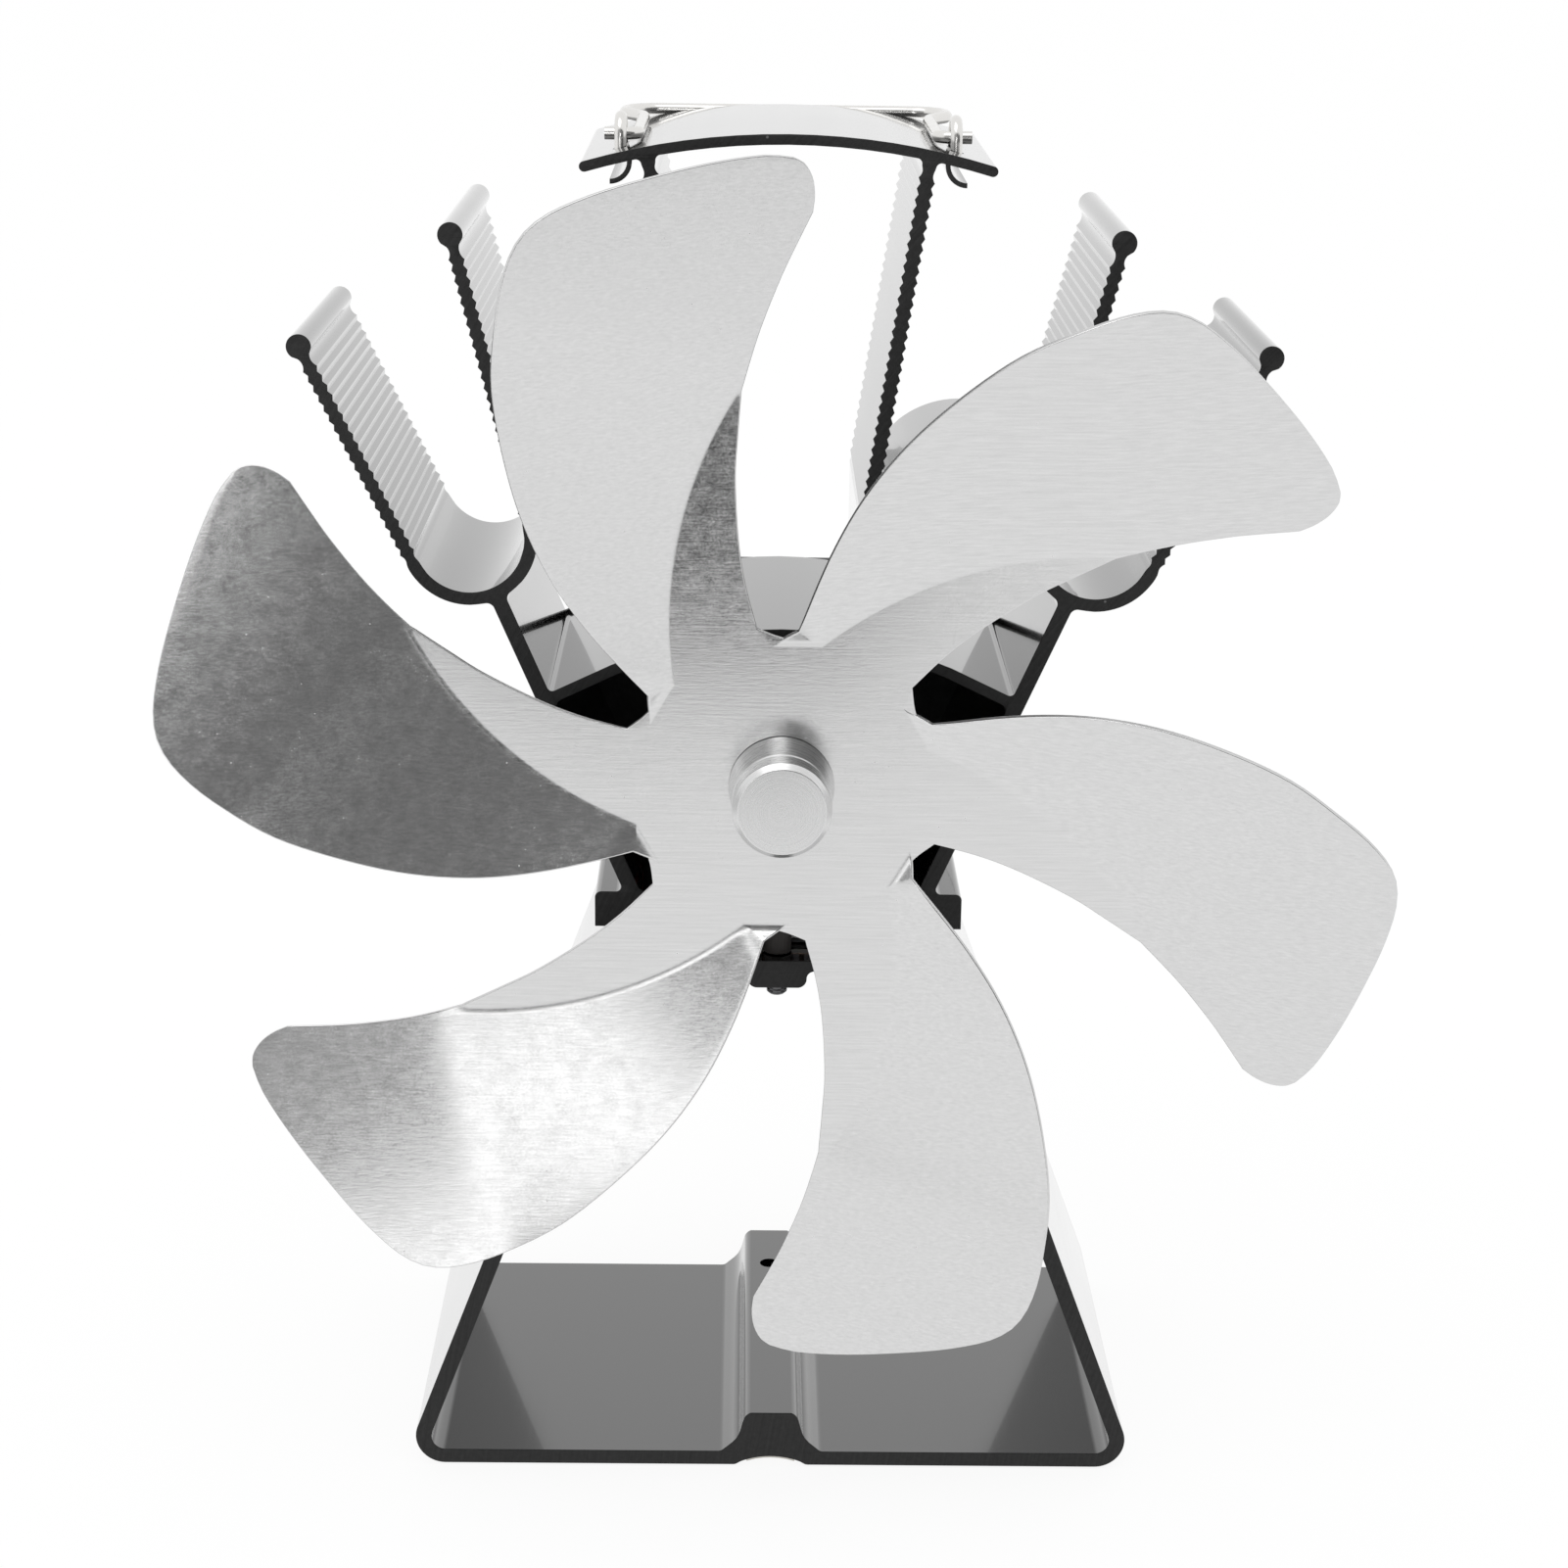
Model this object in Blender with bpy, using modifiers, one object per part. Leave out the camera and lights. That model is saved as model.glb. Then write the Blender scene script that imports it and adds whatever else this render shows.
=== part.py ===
"""Heat-powered stove fan.

A thermoelectric module is clamped between a base and a heat sink, both cut from aluminium
extrusions. The current it makes drives a small motor in the sink, which turns a six-bladed sheet
impeller in front. A wire bail on the top plate lifts the fan.

Metres, +Z up. X is the width, and both halves are alike. The front is at -Y. The base stands on
Z = 0 and the origin lies under the middle of the overall box.
"""

import math

import bmesh
import bpy
from mathutils import Vector

# Fits and drawing
GAP = 0.0003  # clearance between pieces that touch
OVERRUN = 0.002  # how far a cutter passes the faces that it cuts
ARC_STEP = 15.0  # degrees of arc to one flat of an extruded outline
ROUND_STEPS = 32  # flats round a turned piece
SMALL_STEPS = 16  # flats round a screw, washer or hole
SHARP_ANGLE = 12.0  # degrees at which a shaded edge turns sharp

# Base extrusion, its outline in X and Z
BASE_HEIGHT = 0.1099
BASE_DEPTH = 0.0845
BASE_TOP_HALF = 0.0337
BASE_FOOT_HALF = 0.0748  # where a leg's outer line would meet the ground
BASE_WALL = 0.0034  # leg, measured level
BASE_TOP_WALL = 0.0022
BASE_FLOOR_WALL = 0.00305
FOOT_RADIUS = 0.006
FOOT_INNER_RADIUS = 0.0029
BASE_CORNER = 0.0008
BASE_INNER_CORNER = 0.0015
BOSS_HALF = 0.0057
BOSS_DROP = 0.0034
BOSS_RADIUS = 0.0018
RIDGE_HEIGHT = 0.0118
RIDGE_TOP_HALF = 0.0041
RIDGE_BEVEL = 0.0014
RIDGE_FLANK = 0.0015
RIDGE_SHOULDER = 0.006  # height at which the ridge's foot begins to spread
RIDGE_SPREAD = 0.0031
RECESS_HALF = 0.0075
RECESS_RISE = 0.0019

# Heat sink extrusion: top plate and bail hooks. Heights from here on start at the base's top face
SINK_DEPTH = 0.0595
SINK_TOP = 0.1572
SINK_BOTTOM = 0.0068
PLATE_RADIUS = 0.132
PLATE_WALL = 0.0019
PLATE_HALF = 0.0375
HOOK_TIP_X = 0.032
HOOK_RADIUS = 0.004
HOOK_WALL = 0.0009

# Heat sink extrusion: the two fins that carry the top plate
MID_FIN_TOP_X = 0.0243
MID_FIN_TOP_Z = 0.1466
MID_FIN_LEAN = 0.149
MID_FIN_WALL = 0.0026
MID_FIN_FILLET = 0.001
SERRATION_PITCH = 0.002  # V ribs along both faces of every fin
SERRATION_DEPTH = 0.0005  # from valley to crest
CORE_HALF = 0.0140  # inner faces of the upright walls on the roof
CORE_WALL = 0.0029

# Heat sink extrusion: arch, channel and side fins
ARCH_X = 0.0360
ARCH_Z = 0.0799
ARCH_RADIUS = 0.0194
ARCH_WALL = 0.0023
ARCH_TURN = 150.0  # degrees, where the arch runs straight into the upright wall
ARCH_FILLET = 0.0016
ARCH_BLEND = 0.006
CHANNEL_X = 0.0583
CHANNEL_Z = 0.0829
CHANNEL_RADIUS = 0.0115  # to the middle of the wall
FIN_WALL = 0.0024
INNER_BEAD_X = 0.0607
INNER_BEAD_Z = 0.1386
OUTER_BEAD_X = 0.08855
OUTER_BEAD_Z = 0.1181
BEAD_RADIUS = 0.0023
FIN_FILLET = 0.0012

# Heat sink extrusion: arms, roof, motor chamber and flange
ARM_FOOT_X = 0.0301
ARM_FOOT_Z = 0.0148
ARM_LEAN = 0.4313
ARM_WALL = 0.00315
ARM_FILLET = 0.0015
ROOF_TOP = 0.0662
ROOF_RADIUS = 0.074
ROOF_SLOPE = 0.48
ROOF_WALL = 0.0021
CHAMBER_CORNER = 0.0015
CHAMBER_FOOT_RADIUS = 0.002
FLANGE_HALF = 0.03525
FLANGE_WALL = 0.0071
FLANGE_CORNER = 0.0012
WAIST_RADIUS = 0.001

# Thermoelectric module and its pads
MODULE_CLEARANCE = 0.00425  # from a clamp screw's axis to the module
PAD_WALL = 0.0006
CERAMIC_WALL = 0.0008
MODULE_CORE_INSET = 0.001

# Clamp screws, bushes and washers
CLAMP_INSET = 0.0055  # from the sink's front and back faces
CLAMP_RADIUS = 0.002
CLAMP_STUB = 0.003  # what shows below the boss
CLAMP_HEAD_RADIUS = 0.0036
CLAMP_HEAD = 0.0028
CLAMP_SOCKET_RADIUS = 0.0016
CLAMP_SOCKET_DEPTH = 0.0016
CLAMP_CHAMFER = 0.0005
BUSH_WALL = 0.00045
BUSH_SHOULDER_RADIUS = 0.0046
BUSH_SHOULDER = 0.001
WASHER_RADIUS = 0.0043
WASHER_WALL = 0.0009

# Bimetal strip under the ridge, and its rivet
STRIP_WALL = 0.0005
STRIP_HALF = 0.005
STRIP_END_INSET = 0.001
RIVET_INSET = 0.0167  # from the base's back face
RIVET_RADIUS = 0.0017
RIVET_HOLE_CLEARANCE = 0.0004
RIVET_HEAD_RADIUS = 0.0026
RIVET_HEAD = 0.00045
RIVET_LENGTH = 0.0065

# Impeller
IMPELLER_RADIUS = 0.1143
IMPELLER_WALL = 0.001
HUB_Z = 0.0416
HUB_FORWARD = 0.020  # sheet's front face, ahead of the sink
BLADES = 6
PITCH = 19.5  # degrees
CREASE_BOW = 0.005
BLADE_ROWS = 16
EDGE_ROWS = 6
BLADE_COLUMNS = 3
# Outline of the blade that points up, as shares of the impeller's radius (x, z).
CREASE_ROOT_SHARES = (-0.170, 0.170)
CREASE_END_SHARES = (-0.070, 0.640)
GUSSET_OUTER_SHARES = (-0.213, 0.151)
GUSSET_INNER_SHARES = (-0.211, 0.100)
CONVEX_EDGE_SHARES = (
    (-0.308, 0.267),
    (-0.372, 0.371),
    (-0.417, 0.492),
    (-0.444, 0.646),
    (-0.437, 0.761),
    (-0.4225, 0.835),
    (-0.400, 0.884),
    (-0.365, 0.916),
    (-0.313, 0.940),
)
TIP_EDGE_SHARES = ((-0.244, 0.9615), (-0.130, 0.9875), (-0.040, 0.9992), (0.007, 0.995))
TIP_CORNER_SHARES = ((0.007, 0.995), (0.035, 0.964), (0.036, 0.912))
UPPER_EDGE_SHARES = ((-0.043, 0.731), (-0.013, 0.809), (0.009, 0.857), (0.036, 0.912))
LOWER_EDGE_SHARES = ((-0.042, 0.262), (-0.061, 0.332), (-0.0725, 0.405), (-0.078, 0.50), (-0.075, 0.567))
NOTCH_SHARES = ((-0.013, 0.250), (0.014, 0.243))

# Hub knob, collar and set screw
KNOB_RADIUS = 0.0097
KNOB_FRONT_RADIUS = 0.0085
KNOB_LENGTH = 0.0150
KNOB_CHAMFER = 0.0008
KNOB_BORE_DEPTH = 0.009
SPIGOT_RADIUS = 0.005
COLLAR_RADIUS = 0.009
COLLAR_LENGTH = 0.004
SET_SCREW_RADIUS = 0.00125

# Motor
SHAFT_RADIUS = 0.0015
MOTOR_RADIUS = 0.016
MOTOR_TAIL = 0.0147  # from the can's rear to the sink's back face
MOTOR_WALL = 0.0012
MOTOR_CHAMFER = 0.001
BEARING_RADIUS = 0.004
BEARING_LENGTH = 0.0042
BEARING_FLANGE_RADIUS = 0.0055
BEARING_FLANGE = 0.001
MAGNET_WALL = 0.003
MAGNET_START = 0.0039  # behind the can's front face
MAGNET_END = 0.0062  # ahead of the can's rear
MAGNET_SPAN = 130.0  # degrees
ARMATURE_AIR_GAP = 0.0006
ARMATURE_INSET = 0.0003  # its ends from the magnets' ends
COMMUTATOR_RADIUS = 0.004
COMMUTATOR_LENGTH = 0.0035
CAP_WALL = 0.0015
CAP_PLUG = 0.0018
TERMINAL_OFFSET = 0.009
TERMINAL_WIDTH = 0.003
TERMINAL_WALL = 0.0005
TERMINAL_LENGTH = 0.0035

# Motor bracket and its screws
BRACKET_INSET = 0.012  # behind the sink's front face
BRACKET_WALL = 0.0015
BRACKET_HALF = 0.022
BRACKET_ABOVE_AXIS = 0.0165
BRACKET_FOOT = 0.014
BRACKET_NOTCH_HALF = 0.010
BRACKET_NOTCH_HEIGHT = 0.008
MOTOR_SCREW_OFFSET = 0.0105
SCREW_RADIUS = 0.00125
SCREW_HEAD_RADIUS = 0.0026
SCREW_HEAD = 0.0016
SCREW_SLOT = 0.0006
MOTOR_SCREW_LENGTH = 0.0045
FOOT_SCREW_OFFSET = 0.016
FOOT_SCREW_LENGTH = 0.0055

# Leads from the module to the motor
LEAD_RADIUS = 0.0007
LEAD_HOLE_RADIUS = 0.0016
LEAD_OFFSET = 0.012
LEAD_RISE_INSET = 0.005  # lead holes, from the sink's back face

# Rear cover of the motor chamber
COVER_WALL = 0.0012
COVER_PROUD = 0.0008
COVER_TOP_DROP = 0.0006  # below the roof's crown
COVER_LAP = 0.0045  # over the flange
COVER_SCREW_X = 0.020
COVER_SCREW_LENGTH = 0.007

# Bail and its staples
BAIL_RADIUS = 0.00115
BAIL_PIVOT_INSET = 0.012  # from the sink's front face
BAIL_END_X = 0.0334
BAIL_LEG_X = 0.0273
BAIL_CORNER_X = 0.0312
BAIL_FLARE_START = 0.016  # ahead of the cross wire
BAIL_FLARE_END = 0.009
BAIL_BEND = 0.0028
BAIL_FLARE_BEND = 0.006
BAIL_CORNER_BEND = 0.0065
STAPLE_RADIUS = 0.0011
STAPLE_HALF = 0.0035
STAPLE_INSET = 0.0016  # inward of the hook's tip
STAPLE_RISE = 0.0062  # above the plate
STAPLE_FOOT_DROP = 0.0001

# Places that follow from the sizes
STACK_GAPS = 6
MODULE_CORE_WALL = (
    SINK_BOTTOM - 2 * PAD_WALL - 2 * CERAMIC_WALL - STACK_GAPS * GAP
)
SINK_MIDDLE_Y = SINK_DEPTH / 2
FLANGE_TOP = SINK_BOTTOM + FLANGE_WALL
PLATE_CENTRE_Z = SINK_TOP - PLATE_RADIUS
MODULE_SIDE = SINK_DEPTH - 2 * (CLAMP_INSET + MODULE_CLEARANCE)
PLATE_UNDER_RADIUS = PLATE_RADIUS - PLATE_WALL
ROOF_CENTRE_Z = ROOF_TOP - ROOF_RADIUS
MOTOR_FRONT_Y = BRACKET_INSET + BRACKET_WALL + GAP
MOTOR_LENGTH = SINK_DEPTH - MOTOR_TAIL - MOTOR_FRONT_Y
MAGNET_LENGTH = MOTOR_LENGTH - MAGNET_START - MAGNET_END
LEG_LEAN = (BASE_FOOT_HALF - BASE_TOP_HALF) / BASE_HEIGHT
SHAFT_BORE = SHAFT_RADIUS + GAP
SCREW_HOLE = SCREW_RADIUS + GAP
CLAMP_HOLE = CLAMP_RADIUS + GAP
BUSH_RADIUS = CLAMP_HOLE + BUSH_WALL
CLAMP_PLACES = {"front": CLAMP_INSET, "rear": SINK_DEPTH - CLAMP_INSET}
STAPLE_X = HOOK_TIP_X - STAPLE_INSET


# Scene and collections
for old in list(bpy.data.objects):
    bpy.data.objects.remove(old, do_unlink=True)

PARTS = bpy.data.collections.new("stove_fan")
CUTTERS = bpy.data.collections.new("stove_fan_cutters")
for new_collection in (PARTS, CUTTERS):
    bpy.context.scene.collection.children.link(new_collection)


def material(name, colour, roughness, metallic):
    """A Principled material."""
    made = bpy.data.materials.new(name)
    made.use_nodes = True
    shader = made.node_tree.nodes["Principled BSDF"]
    shader.inputs["Base Color"].default_value = (*colour, 1.0)
    shader.inputs["Roughness"].default_value = roughness
    shader.inputs["Metallic"].default_value = metallic
    made.diffuse_color = (*colour, 1.0)
    return made


BLACK_ANODISED = material("black anodised aluminium", (0.028, 0.028, 0.030), 0.22, 0.85)
BRUSHED = material("brushed aluminium", (0.72, 0.72, 0.73), 0.34, 1.0)
TURNED_ALUMINIUM = material("turned aluminium", (0.76, 0.76, 0.77), 0.28, 1.0)
BRIGHT_STEEL = material("bright steel", (0.62, 0.62, 0.61), 0.25, 1.0)
SPRING_WIRE = material("stainless wire", (0.66, 0.66, 0.66), 0.18, 1.0)
BLACK_STEEL = material("black steel", (0.02, 0.02, 0.021), 0.45, 0.6)
BIMETAL = material("bimetal", (0.60, 0.58, 0.54), 0.35, 1.0)
CERAMIC = material("white ceramic", (0.82, 0.82, 0.80), 0.5, 0.0)
PELLETS = material("module core", (0.16, 0.15, 0.15), 0.6, 0.2)
GRAPHITE = material("graphite pad", (0.05, 0.05, 0.055), 0.6, 0.0)
POLYMER = material("black polymer", (0.02, 0.02, 0.02), 0.5, 0.0)
FERRITE = material("ferrite magnet", (0.07, 0.07, 0.07), 0.55, 0.1)
COPPER_WOUND = material("wound copper", (0.55, 0.26, 0.14), 0.4, 0.9)
BRONZE = material("sintered bronze", (0.45, 0.30, 0.15), 0.45, 1.0)
TINNED = material("tinned brass", (0.62, 0.60, 0.55), 0.3, 1.0)
RED_COVER = material("red lead", (0.50, 0.02, 0.02), 0.45, 0.0)
BLACK_COVER = material("black lead", (0.015, 0.015, 0.015), 0.45, 0.0)


# Drawing in the plane
def on_circle(centre, radius, angle):
    """The point at an angle in degrees on a circle."""
    turn = math.radians(angle)
    return (centre[0] + radius * math.cos(turn), centre[1] + radius * math.sin(turn))


def arc(centre, radius, start, end, step=ARC_STEP):
    """Points along an arc, both ends included; it runs clockwise where end is below start."""
    count = max(1, math.ceil(abs(end - start) / step))
    return [on_circle(centre, radius, start + (end - start) * i / count) for i in range(count + 1)]


def short_arc(centre, start, end, step=ARC_STEP):
    """Points along the shorter arc from one point of a circle to another."""
    first = Vector(start) - Vector(centre)
    last = Vector(end) - Vector(centre)
    begin = math.degrees(math.atan2(first.y, first.x))
    turn = math.degrees(-first.angle_signed(last))
    return arc(centre, first.length, begin, begin + turn, step)


def round_corner(before, corner, after, radius):
    """The corner between two straight sides as an arc, or as a point where the radius is zero."""
    if radius == 0:
        return [tuple(corner)]
    here = Vector(corner)
    back = (Vector(before) - here).normalized()
    ahead = (Vector(after) - here).normalized()
    half = back.angle(ahead) / 2
    middle = here + (back + ahead).normalized() * (radius / math.sin(half))
    reach = radius / math.tan(half)
    return short_arc(tuple(middle), tuple(here + back * reach), tuple(here + ahead * reach))


def rounded(corners):
    """A closed outline through (x, z, radius) corners."""
    points = []
    for i, (x, z, radius) in enumerate(corners):
        after = corners[(i + 1) % len(corners)]
        points += round_corner(corners[i - 1][:2], (x, z), after[:2], radius)
    return points


def line_to_circle(point, direction, side, centre, radius, fillet, inside, far):
    """A fillet between a line and a circle, as (point on the line, ..., point on the circle).

    It lies to the left of the line's direction where side is 1 and to its right where it is -1,
    inside or outside the circle, at the near or the far crossing along the line.
    """
    along = Vector(direction).normalized()
    across = Vector((-along.y, along.x)) * side
    start = Vector(point) + across * fillet
    reach = radius - fillet if inside else radius + fillet
    offset = start - Vector(centre)
    middle_share = -offset.dot(along)
    root = math.sqrt(middle_share**2 - offset.length_squared + reach**2)
    middle = start + along * (middle_share + (root if far else -root))
    outward = (middle - Vector(centre)).normalized() * (fillet if inside else -fillet)
    return short_arc(tuple(middle), tuple(middle - across * fillet), tuple(middle + outward))


def serrated(start, end, side):
    """A straight fin face as V ribs, its air to the left of the way along it where side is 1."""
    first = Vector(start)
    way = Vector(end) - first
    along = way.normalized() * SERRATION_PITCH
    lift = Vector((-along.y, along.x)).normalized() * (side * SERRATION_DEPTH / 2)
    count = math.floor(way.length / SERRATION_PITCH - 1)
    valley = first + (way - along * count) / 2 - lift
    points = [valley]
    for i in range(count):
        points += [valley + along * i + along / 2 + lift * 2, valley + along * (i + 1)]
    return [tuple(point) for point in points]


def mirrored(half):
    """A closed outline from the half at +X, which starts and ends on the middle plane or near it."""
    left = [(-x, z) for x, z in reversed(half) if x != 0]
    return half + left


# Objects
def place(obj, name, finish, parent=None, location=(0, 0, 0), rotation=(0, 0, 0)):
    """Name an object, give it its material and put it in the parts' collection."""
    obj.name = name
    obj.data.name = name
    obj.data.materials.clear()
    obj.data.materials.append(finish)
    obj.parent = parent or UPPER
    obj.location = location
    obj.rotation_euler = [math.radians(angle) for angle in rotation]
    PARTS.objects.link(obj)
    return obj


def shaded(mesh):
    """Smooth shading with sharp edges kept."""
    mesh.shade_smooth()
    mesh.set_sharp_from_angle(angle=math.radians(SHARP_ANGLE))
    return mesh


def baked(obj):
    """The evaluated mesh of an unlinked object, with its seams welded."""
    PARTS.objects.link(obj)
    graph = bpy.context.evaluated_depsgraph_get()
    mesh = bpy.data.meshes.new_from_object(obj.evaluated_get(graph))
    bpy.data.objects.remove(obj, do_unlink=True)
    work = bmesh.new()
    work.from_mesh(mesh)
    bmesh.ops.remove_doubles(work, verts=work.verts, dist=GAP * WELD_SHARE)
    work.to_mesh(mesh)
    work.free()
    return shaded(mesh)


def spline(curve, points, closed):
    """Add a straight-sided spline through 2D or 3D points."""
    line = curve.splines.new("POLY")
    line.points.add(len(points) - 1)
    for target, point in zip(line.points, points):
        target.co = (*point, 1.0) if len(point) == 3 else (*point, 0.0, 1.0)
    line.use_cyclic_u = closed


def slab(outlines, depth):
    """Mesh of a flat shape with holes, its outline in local X and Y, centred on local Z."""
    curve = bpy.data.curves.new("outline", "CURVE")
    curve.dimensions = "2D"
    curve.fill_mode = "BOTH"
    curve.extrude = depth / 2
    for points in outlines:
        spline(curve, points, True)
    mesh = baked(bpy.data.objects.new("outline", curve))
    work = bmesh.new()
    work.from_mesh(mesh)
    caps = [face for face in work.faces if abs(face.normal.z) > WELD_SHARE or face.calc_area() < GAP**2]
    inner = [edge for edge in work.edges if all(face in caps for face in edge.link_faces)]
    bmesh.ops.beautify_fill(work, faces=caps, edges=inner)
    work.to_mesh(mesh)
    work.free()
    return shaded(mesh)


def extrusion(name, outlines, front, back, finish, parent=None):
    """A section in X and Z that runs along Y from front to back."""
    body = bpy.data.objects.new(name, slab(outlines, back - front))
    return place(body, name, finish, parent, (0, (front + back) / 2, 0), (90, 0, 0))


def tube(points, radius, resolution):
    """Mesh of a round wire along 3D points, its ends closed."""
    curve = bpy.data.curves.new("wire", "CURVE")
    curve.dimensions = "3D"
    curve.bevel_depth = radius
    curve.bevel_resolution = resolution
    curve.use_fill_caps = True
    spline(curve, points, False)
    return baked(bpy.data.objects.new("wire", curve))


def turned(profile, closed, steps=ROUND_STEPS):
    """Mesh of a profile (radius, height) turned about local Z, down its outer side."""
    mesh = bpy.data.meshes.new("profile")
    count = len(profile)
    edges = [(i, i + 1) for i in range(count - 1)]
    if closed:
        edges.append((count - 1, 0))
    mesh.from_pydata([(radius, 0, height) for radius, height in profile], edges, [])
    body = bpy.data.objects.new("profile", mesh)
    screw = body.modifiers.new("turn", "SCREW")
    screw.steps = steps
    screw.render_steps = steps
    screw.use_merge_vertices = True
    screw.merge_threshold = GAP * WELD_SHARE
    return baked(body)


def ring(inner, outer, low, high, steps=SMALL_STEPS):
    """Mesh of a plain ring about local Z."""
    return turned([(inner, high), (outer, high), (outer, low), (inner, low)], True, steps)


def add(name, mesh, finish, **where):
    """An object from a mesh."""
    return place(bpy.data.objects.new(name, mesh), name, finish, **where)


def block(name, finish, size, centre, parent=None):
    """A box."""
    work = bmesh.new()
    bmesh.ops.create_cube(work, size=1)
    bmesh.ops.scale(work, vec=size, verts=work.verts)
    mesh = bpy.data.meshes.new(name)
    work.to_mesh(mesh)
    work.free()
    return add(name, mesh, finish, parent=parent, location=centre)


def cutter(name, mesh, location, rotation=(0, 0, 0), parent=None):
    """An object that only cuts."""
    tool = place(bpy.data.objects.new(name, mesh), name, POLYMER, parent, location, rotation)
    PARTS.objects.unlink(tool)
    CUTTERS.objects.link(tool)
    tool.hide_render = True
    tool.display_type = "WIRE"
    return tool


def rod_cutter(name, radius, low, high, location, rotation=(0, 0, 0), parent=None):
    """A round cutter along its local Z."""
    profile = [(0, high), (radius, high), (radius, low), (0, low)]
    return cutter(name, turned(profile, False, SMALL_STEPS), location, rotation, parent)


def box_cutter(name, size, centre, parent=None):
    """A box that only cuts."""
    work = bmesh.new()
    bmesh.ops.create_cube(work, size=1)
    bmesh.ops.scale(work, vec=size, verts=work.verts)
    mesh = bpy.data.meshes.new(name)
    work.to_mesh(mesh)
    work.free()
    return cutter(name, mesh, centre, parent=parent)


def cut(body, *tools):
    """Subtract the tools."""
    for tool in tools:
        step = body.modifiers.new(tool.name, "BOOLEAN")
        step.operation = "DIFFERENCE"
        step.solver = "EXACT"
        step.object = tool


WELD_SHARE = 0.1
AXIS_TO_FRONT = (90, 0, 0)  # turns local Z to the front
AXIS_ACROSS = (90, 0, 90)  # turns an outline in X and Y to Y and Z


# Blade outline and pitch
def blade_point(shares):
    """A point of the upright blade in the hub's plane."""
    return Vector((shares[0] * IMPELLER_RADIUS, shares[1] * IMPELLER_RADIUS))


CREASE_ROOT = blade_point(CREASE_ROOT_SHARES)
CREASE_END = blade_point(CREASE_END_SHARES)
CREASE_ALONG = (CREASE_END - CREASE_ROOT).normalized()
CREASE_LENGTH = (CREASE_END - CREASE_ROOT).length


def crease_bow(along):
    """How far the crease bows from its chord at a distance along it."""
    radius = (CREASE_LENGTH**2 / 4 + CREASE_BOW**2) / (2 * CREASE_BOW)
    from_middle = along - CREASE_LENGTH / 2
    if abs(from_middle) >= CREASE_LENGTH / 2:
        return 0.0
    return math.sqrt(radius**2 - from_middle**2) - (radius - CREASE_BOW)


def crease_point(share):
    """A point on the crease."""
    along = CREASE_LENGTH * share
    side = Vector((-CREASE_ALONG.y, CREASE_ALONG.x))
    return CREASE_ROOT + CREASE_ALONG * along + side * crease_bow(along)


def pitched(point):
    """A point of the pitched sheet: it comes forward with its distance from the crease."""
    offset = point - CREASE_ROOT
    across = offset.dot(Vector((-CREASE_ALONG.y, CREASE_ALONG.x)))
    past_crease = max(0, across - crease_bow(offset.dot(CREASE_ALONG)))
    return Vector((point.x, -math.tan(math.radians(PITCH)) * past_crease, point.y))


def smooth_rail(points, count):
    """Evenly spaced points on a smooth curve through the given ones."""
    padded = [points[0] * 2 - points[1], *points, points[-1] * 2 - points[-2]]
    fine = []
    for p0, p1, p2, p3 in zip(padded, padded[1:], padded[2:], padded[3:]):
        for i in range(FINE_STEPS):
            t = i / FINE_STEPS
            fine.append(
                (p1 * 2 + (p2 - p0) * t + (p0 * 2 - p1 * 5 + p2 * 4 - p3) * t**2
                 + (p1 * 3 - p0 - p2 * 3 + p3) * t**3) / 2
            )
    fine.append(points[-1])
    return resampled(fine, count)


def resampled(points, count):
    """Points at even steps along a polyline, both ends included."""
    lengths = [0.0]
    for a, b in zip(points, points[1:]):
        lengths.append(lengths[-1] + (b - a).length)
    result = []
    index = 0
    for i in range(count):
        target = lengths[-1] * i / (count - 1)
        while index < len(points) - 2 and lengths[index + 1] < target:
            index += 1
        span = lengths[index + 1] - lengths[index]
        result.append(points[index].lerp(points[index + 1], (target - lengths[index]) / span))
    return result


FINE_STEPS = 8


def blade_rails():
    """The two long rails of the pitched sheet, from the hub to the tip."""
    crease = [crease_point(i / BLADE_ROWS) for i in range(BLADE_ROWS + 1)]
    upper = smooth_rail([CREASE_END, *map(blade_point, UPPER_EDGE_SHARES)], EDGE_ROWS + 1)
    outer = [blade_point(GUSSET_OUTER_SHARES), *map(blade_point, CONVEX_EDGE_SHARES + TIP_EDGE_SHARES)]
    right = crease + upper[1:]
    return right, smooth_rail(outer, len(right))


def blade_reach():
    """How far the sheet comes forward of the hub's plane."""
    return max(-pitched(point).y for point in blade_rails()[1])


# The whole stands centred over the origin
FRONT_REACH = HUB_FORWARD + max(blade_reach(), KNOB_LENGTH)
FRAME = bpy.data.objects.new("stove_fan_frame", None)
FRAME.location = (0, (FRONT_REACH - BASE_DEPTH) / 2, 0)
UPPER = bpy.data.objects.new("sink_frame", None)  # on the base's top face
UPPER.parent = FRAME
UPPER.location = (0, 0, BASE_HEIGHT)
ROTOR = bpy.data.objects.new("fan_axis", None)
ROTOR.location = (0, -HUB_FORWARD, HUB_Z)
for holder in (FRAME, UPPER, ROTOR):
    PARTS.objects.link(holder)
ROTOR.parent = UPPER


# Base extrusion
def leg_x(height):
    """X of a leg's outer face."""
    return BASE_TOP_HALF + LEG_LEAN * (BASE_HEIGHT - height)


def recess_radius(lift=0):
    """Radius of the recess's roof, or of a face parallel to it."""
    return (RECESS_HALF**2 + RECESS_RISE**2) / (2 * RECESS_RISE) - lift


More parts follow.
